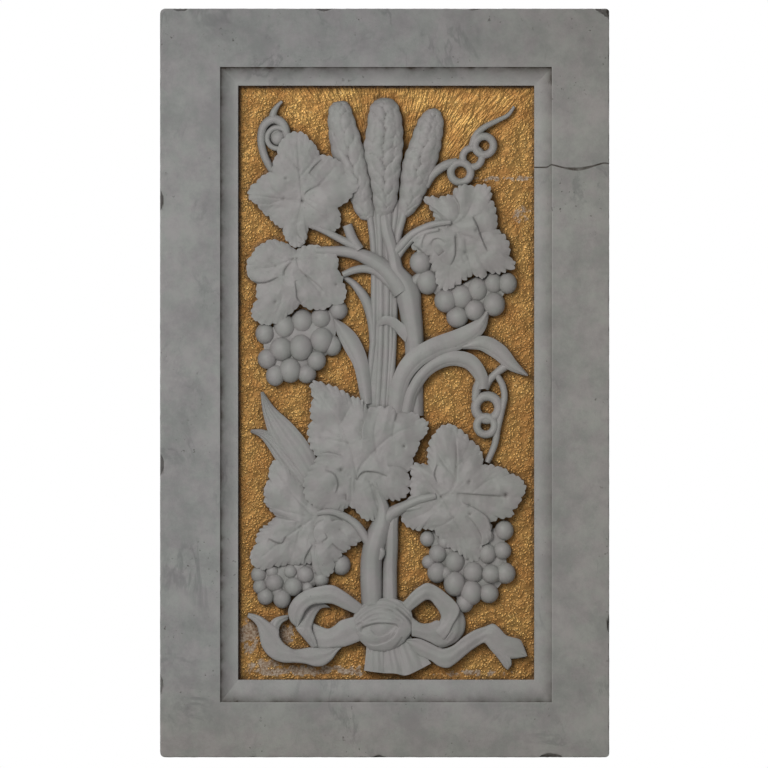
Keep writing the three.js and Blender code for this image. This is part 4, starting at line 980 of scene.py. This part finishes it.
BEDS = [  # the stone left under and between the berries of each bunch
    [(-134, 78), (-160, 68), (-159, 34), (-148, 8), (-126, 10), (-104, 10), (-90, 28), (-70, 48), (-64, 96),
     (-86, 92), (-110, 88)],
    [(46, 165), (50, 138), (78, 108), (96, 86), (120, 94), (146, 102), (164, 130), (150, 140), (120, 140),
     (90, 130), (60, 160)],
    [(-168, -254), (-164, -284), (-138, -288), (-120, -274), (-100, -274), (-84, -263), (-60, -243),
     (-80, -240), (-130, -240)],
    [(55, -205), (66, -225), (70, -252), (90, -272), (103, -294), (139, -284), (162, -256), (160, -222),
     (157, -194), (120, -200), (80, -195)],
]
RIPE, RAISED = 1.06, 0.6  # how much larger and higher the grapes stand than their list says
talls = np.random.default_rng(51).uniform(0.98, 1.16, len(GRAPES))
bunches = [berry(x, z, size * RIPE, top + RAISED, tall) for (x, z, size, top), tall in zip(GRAPES, talls)]


def bed(x, z, part):
    """The stone under a bunch: level, falling toward its edge with the fourth power of the way out."""
    return 13.5 - 4 * part ** 4 + 1.2 * unevenness(x, z, 7, 52)


for outline in BEDS:
    edge = smooth(outline, 90, closed=True)
    bunches.append(mound(edge.mean(0), edge, np.linspace(0.05, 1, 20), bed))
carved.append(piece("grapes", bunches, carved_marble))


# ======== The ribbon, its knot and the sheaf's ends ========
# A broad ribbon ties the stems: a bow to each side, a rolled knot in front, two swallow-tailed ends,
# and below the knot the cut ends of the sheaf. Stone cut as cloth, a few millimetres thick at its edges.
RIBBONS = [  # one edge, the other edge, and their heights
    ([(-25, -300), (-38, -290), (-53, -279), (-70, -270), (-90, -272), (-108, -278), (-122, -289),
      (-129, -304), (-126, -318), (-117, -327)],
     [(-28, -312), (-40, -308), (-54, -302), (-70, -295), (-85, -294.5), (-96, -296), (-105, -303),
      (-110, -313), (-113, -320), (-116, -326)],
     [(18, 18), (22, 21), (25, 22), (25, 23), (24, 23), (23, 24), (22, 24), (20, 23), (19, 20), (17, 18)]),
    ([(-88, -290), (-104, -298), (-111, -310), (-118, -322), (-118, -329), (-109, -340), (-98, -353)],
     [(-72, -300), (-84, -301), (-91, -309), (-96, -321), (-97, -329), (-92, -341), (-89, -352)],
     [(13, 11), (14, 11), (15, 12), (17, 16), (19, 20), (19, 19), (16, 16)]),
    ([(-97, -320), (-88, -324), (-76, -328), (-67, -324), (-58, -317), (-40, -312)],
     [(-94, -352), (-84, -355), (-74, -354), (-62, -353), (-50, -351), (-32, -344)],
     [(11, 14), (13, 16), (17, 18), (20, 19), (21, 20), (21, 20)]),
    ([(-53, -350), (-62, -358), (-70, -369), (-81, -377), (-93, -378.5), (-106, -375), (-120, -373.5),
      (-135, -373.3),
      (-148, -369), (-158, -361), (-165, -349), (-168, -334), (-171, -324), (-177, -317), (-183.5, -313)],
     [(-60, -352), (-70, -353), (-82, -354), (-98, -353), (-112, -355), (-121, -355.5), (-130, -351),
      (-136, -346),
      (-140.5, -338), (-141, -331), (-146, -324), (-154, -319.5), (-163, -313), (-172, -309), (-182, -307)],
     [(15, 14), (18, 17), (19, 18), (19, 18), (20, 19), (21, 19), (21, 19), (20, 19), (19, 17), (15, 12)]),
    ([(-158, -332), (-154, -321), (-147, -314), (-138, -311), (-129, -309.5)],
     [(-141, -332), (-140, -326), (-136, -320), (-132, -317.5), (-129, -316)],
     [(18, 17), (18, 16), (17, 15), (15, 13), (12, 11)]),
    ([(20, -297), (28, -289), (36, -280), (46, -272), (57, -267), (70, -272), (82, -281), (93, -291),
      (100, -302), (97, -313), (91, -323), (86, -334), (79, -343)],
     [(28, -310), (35.5, -304), (42, -299), (49, -293.5), (56, -289.5), (62, -291), (67, -297), (72, -304),
      (75, -311), (74, -316), (71, -319), (66, -320), (60, -321)],
     [(18, 17), (22, 20), (24, 21), (25, 22), (24, 20), (23, 19), (22, 17), (21, 15), (20, 14), (19, 15),
      (18, 17)]),
    ([(36, -312), (48, -320.5), (60, -320.5), (70, -317), (80, -322)],
     [(36, -338), (48, -341), (60, -346), (72, -352), (84, -350)],
     [(21, 20), (20, 19), (18, 18), (17, 16), (16, 14)]),
    ([(99, -300), (105, -308), (108, -319), (106, -333), (97, -345), (84, -352), (74, -355)],
     [(96, -302), (92, -318), (88, -328), (84, -337), (79, -343), (74, -345), (68, -346)],
     [(13, 19), (10, 18), (9, 17), (9, 17), (10, 16), (12, 15), (13, 14)]),
    ([(30, -342), (45, -341), (60, -347), (72, -353), (80, -354.5), (92, -350), (106, -338.5), (120, -330),
      (133, -325.5), (144, -321.5),
      (152, -326), (162, -336.5), (172, -340), (181, -343), (186, -352), (190.5, -364)],
     [(27, -347), (36, -357), (50, -366), (62, -371), (72, -378), (84, -380.5), (94, -375), (105, -366),
      (116, -357), (128, -349),
      (134, -347.5), (141, -356), (151, -366), (162, -368), (176, -368), (189, -365.5)],
     [(17, 13), (19, 16), (19, 17), (20, 18), (20, 18), (19, 17), (21, 19), (20, 18), (18, 16), (15, 13)]),
    ([(150, -350), (160, -357), (168, -367), (169.5, -376), (165, -382.8)],
     [(141, -355), (149, -365), (155, -373), (159, -379), (163, -382.6)],
     [(18, 18), (18, 17), (17, 16), (15, 14), (13, 12)]),
]


def ribbon(one_edge, other_edge, heights):
    """A face of ribbon between two edges: gently crowned, with soft folds along it and rounded edges."""
    def crown(across, half, along):
        folds = 0.45 * np.sin(5.5 * across + 3.1 * along) * (1 - across ** 2)
        return 1.2 * (1 - across ** 2) + folds - 1.5 * np.abs(across) ** 10

    return between(one_edge, other_edge, heights, 110, 27, crown)


def sheaf(across, half, along):
    """Three broad folds down the sheaf's cut ends, the size of a sine, with fine ribs on them."""
    folds = 2.4 * np.abs(np.sin(math.pi * (3.3 * along ** 1.15 + 0.12 * across))) ** 0.6
    ribs = 0.35 * np.sin(60 * along) * (1 - across ** 4)
    return folds * (0.6 + 0.4 * across) + ribs + 1.5 * (1 - across ** 2)


SHEAF = ([(-23, -340), (-10, -344), (5, -345), (20, -343), (34, -338)],
         [(-27.5, -384), (-14, -386), (0, -387.5), (14, -388), (28, -390.5), (44, -384), (62, -374.5)],
         [(14, 15), (16, 16), (16, 16), (15, 15), (13, 12)])
KNOT_EDGE = [(-43, -318), (-38, -304), (-27, -295), (-13, -289.5), (2, -287.2), (15, -288.6), (27, -294),
             (35, -304),
             (37.5, -318), (37, -331), (30, -341), (22, -349), (12, -355), (0, -358), (-13, -357.5),
             (-23, -353), (-33, -344), (-41, -333)]
KNOT_FOLDS = [  # each fold's line, how deep its step is on the right of the line, and how far it fades
    ([(-34, -333), (-30, -326.3), (-20.3, -322.5), (-7.2, -320.3), (8, -320.9), (15.7, -322.5), (20, -327)],
     3.6, 9),
    ([(14.6, -324.2), (10.2, -329.6), (1.5, -336.1), (-7.2, -338.3), (-14.9, -335), (-20.3, -327.4)], 2.0,
     6),
    ([(18, -327.4), (13.5, -337.2), (6, -343.7), (-4, -348), (-13.8, -350), (-22.5, -348)], 2.6, 6),
    ([(27.7, -342.6), (35.3, -334), (36, -325.2), (31, -316.5), (23.3, -309), (13.5, -300.2)], 3.2, 6),
    ([(10.2, -354.6), (16.8, -348), (23.3, -338.3)], 2.0, 5),
    ([(-17, -305), (-4, -303), (8, -302.5), (13, -306)], 1.2, 4), ([(-9, -310), (8, -313)], 1.0, 4),
    ([(-40, -325), (-36, -321), (-31, -318.7)], 2.4, 4), ([(-38, -333), (-34, -327), (-28, -323)], 1.4, 4),
]


def knot_surface(x, z, part):
    """The knot: a full dome, cut by the steps where one turn of ribbon passes over the next, with fine
    folds over its upper part that follow the sine of the height plus a share of x squared."""
    top = 17 + 10 * np.sqrt(np.clip(1 - 0.96 * part ** 2, 0, 1))
    for line, depth, fade in KNOT_FOLDS:
        away, side, share = beside(x, z, smooth(line, 24))
        step = 0.85 * depth * np.clip(6 * share * (1 - share), 0, 1) ** 0.6 * np.exp(-away / fade)
        top = top + np.where(side < 0, -step, 0.35 * step) * np.tanh(away / 1.1)
    top = top + 0.5 * np.sin(0.9 * (z + 0.14 * (x + 4) ** 2 / 9)) * (z > -318)
    return top + 0.4 * unevenness(x, z, 9, 31)


ribbons = [ribbon(*faces) for faces in RIBBONS]
ribbons.append(between(*SHEAF, 141, 31, sheaf))
ribbons.append(mound((-2, -323), smooth(KNOT_EDGE, 150, closed=True), np.linspace(0.03, 1, 40),
                     knot_surface))
carved.append(piece("ribbon", ribbons, carved_marble))


# ======== Dust and painted shade ===
# Dust and soot gather where the carving is close and deep, and painted shade darkens the same places.
# A map of the highest stone at every place is blurred, and each point is darkened as far as it lies
# below its blurred surroundings.
CHART = 2.0
columns = int((EDGE[2] - EDGE[0]) / CHART) + 1
rows = int((EDGE[3] - EDGE[1]) / CHART) + 1


def blurred(chart, reach):
    """Each place's mean over a square reach across, taken three times, from running sums."""
    wide = int(reach / CHART) | 1
    for _ in range(3):
        for axis in (0, 1):
            margins = [(wide // 2 + 1, wide // 2) if k == axis else (0, 0) for k in (0, 1)]
            padded = np.pad(chart, margins, "edge")
            total = np.cumsum(padded, axis)
            chart = (np.take(total, range(wide, total.shape[axis]), axis)
                     - np.take(total, range(0, total.shape[axis] - wide), axis)) / wide
    return chart


def stations_of(made):
    """Every point's place on the chart and its height over the field."""
    places = np.zeros(len(made.data.vertices) * 3, np.float32)
    made.data.vertices.foreach_get("co", places)
    x, y, z = places.reshape(-1, 3).T / MM
    return (np.clip(((z - EDGE[1]) / CHART).round().astype(int), 0, rows - 1),
            np.clip(((x - EDGE[0]) / CHART).round().astype(int), 0, columns - 1), -y - BACK)


across_x = EDGE[0] + CHART * np.arange(columns)[None]
across_z = EDGE[1] + CHART * np.arange(rows)[:, None]
across_x, across_z = np.broadcast_arrays(across_x, across_z)
outside = np.maximum.reduce([(FIELD[0] - across_x) / -MOULDING[0], (across_x - FIELD[2]) / MOULDING[2],
                             (FIELD[1] - across_z) / -MOULDING[1], (across_z - FIELD[3]) / MOULDING[3]])
fall = SINK - QUIRK - (SINK - QUIRK - SIGHT_EDGE) * np.cos(np.clip(outside, 0, 1) * math.pi / 2)
chart = np.where(outside > 1, SINK, np.where(outside > 0, fall, 0))
everything = [slab, field] + carved
for made in carved:
    row, column, height = stations_of(made)
    np.maximum.at(chart, (row, column), height)
near, wide = blurred(chart, 6), blurred(chart, 22)


def hollowness(mesh):
    """How far each point lies below the mean of its neighbours along its normal, as a share of their
    mean distance: above nothing in a crease, below nothing on an arris."""
    count = len(mesh.vertices)
    places, normals = np.zeros(count * 3, np.float32), np.zeros(count * 3, np.float32)
    ends = np.zeros(len(mesh.edges) * 2, np.int32)
    mesh.vertices.foreach_get("co", places)
    mesh.vertices.foreach_get("normal", normals)
    mesh.edges.foreach_get("vertices", ends)
    places, normals, (start, end) = places.reshape(-1, 3), normals.reshape(-1, 3), ends.reshape(-1, 2).T
    span = places[end] - places[start]
    length = np.maximum(np.linalg.norm(span, axis=1), 1e-6)
    met = np.bincount(start, minlength=count) + np.bincount(end, minlength=count)
    rise = (np.bincount(start, (span * normals[start]).sum(1) / length, minlength=count)
            - np.bincount(end, (span * normals[end]).sum(1) / length, minlength=count)) / np.maximum(met, 1)
    around = np.bincount(start, rise[end], minlength=count) + np.bincount(end, rise[start], minlength=count)
    return 0.5 * rise + 0.5 * around / np.maximum(met, 1)


for made in everything:
    row, column, height = stations_of(made)
    sunk = 0.42 * np.clip((near[row, column] - height) / 9, 0, 1)
    sunk = sunk + np.clip((wide[row, column] - height) / 24, 0, 1) * 0.42
    if made is slab:  # the moulding's hollow gets less dust and painted shade than those of the carving
        sunk = 0.4 * sunk
    bent = hollowness(made.data)
    if made is field:  # painted shadow under the moulding's edge at the top and on the left
        x, z = EDGE[0] + CHART * column, EDGE[1] + CHART * row
        sunk = np.maximum(sunk, np.clip(2 - np.minimum(FIELD[3] - z, 1.2 * (x - FIELD[0])) / 3, 0, 1))
    bare = np.maximum(-bent * 3 - 0.1, polish if made is slab else 0.12)
    # The first attribute is dust and painted shade, darkest in hollows and creases; the second is wear.
    for label, values in (("dust_and_shade", sunk + np.clip(bent * 2.5 - 0.12, 0, 0.6)), ("worn", bare)):
        layer = made.data.attributes.new(label, "FLOAT", "POINT")
        layer.data.foreach_set("value", np.clip(values, 0, 1).astype(np.float32))


# ======== Light, floor and camera ========
# A plain pale floor, one broad soft light from the upper left in front, a weak fill, and a camera
# square to the plaque's face.
world = bpy.data.worlds.new("Studio")
bpy.context.scene.world = world
world.use_nodes = True
tree = world.node_tree
background = tree.nodes["Background"]
seen = node(tree, "LightPath").outputs["Is Camera Ray"]
tree.links.new(blend(tree, seen, (0.2, 0.203, 0.206, 1), (1, 1, 1, 1)), background.inputs["Color"])


def soft_light(name, place, size, power, colour):
    """A square area light that faces the plaque's middle."""
    lamp = bpy.data.lights.new(name, "AREA")
    lamp.size = size
    lamp.energy = power
    lamp.color = colour
    made = bpy.data.objects.new(name, lamp)
    bpy.context.collection.objects.link(made)
    made.location = place
    made.rotation_euler = (-made.location).to_track_quat("-Z", "Y").to_euler()
    return made


soft_light("Key", (-1.7, -4.4, 1.7), 2.2, 118, (1.0, 0.985, 0.96))
soft_light("Fill", (0.3, -3.2, -1.3), 2.5, 12, (0.97, 0.98, 1.0))
soft_light("Back fill", (0.8, 2.4, 0.9), 2.0, 45, (1.0, 1.0, 1.0))

floor_mesh = bpy.data.meshes.new("floor")
REACH, GROUND = 4.0, -0.5005  # metres
floor_mesh.from_pydata([(-REACH, -REACH, GROUND), (REACH, -REACH, GROUND), (REACH, REACH, GROUND),
                        (-REACH, REACH, GROUND)], [], [(0, 1, 2, 3)])
floor = bpy.data.objects.new("floor", floor_mesh)
bpy.context.collection.objects.link(floor)
pale = bpy.data.materials.new("Pale floor")
pale.use_nodes = True
pale.node_tree.nodes["Principled BSDF"].inputs["Base Color"].default_value = (0.7, 0.7, 0.69, 1)
pale.node_tree.nodes["Principled BSDF"].inputs["Roughness"].default_value = 0.9
floor_mesh.materials.append(pale)

camera_data = bpy.data.cameras.new("Camera")
camera_data.type = "ORTHO"
camera_data.ortho_scale = 1.0255
camera = bpy.data.objects.new("Camera", camera_data)
bpy.context.collection.objects.link(camera)
camera.location = (-0.0009, -3.0, -0.0014)
camera.rotation_euler = (math.pi / 2, 0, 0)
bpy.context.scene.camera = camera
bpy.context.scene.view_settings.view_transform = "Standard"
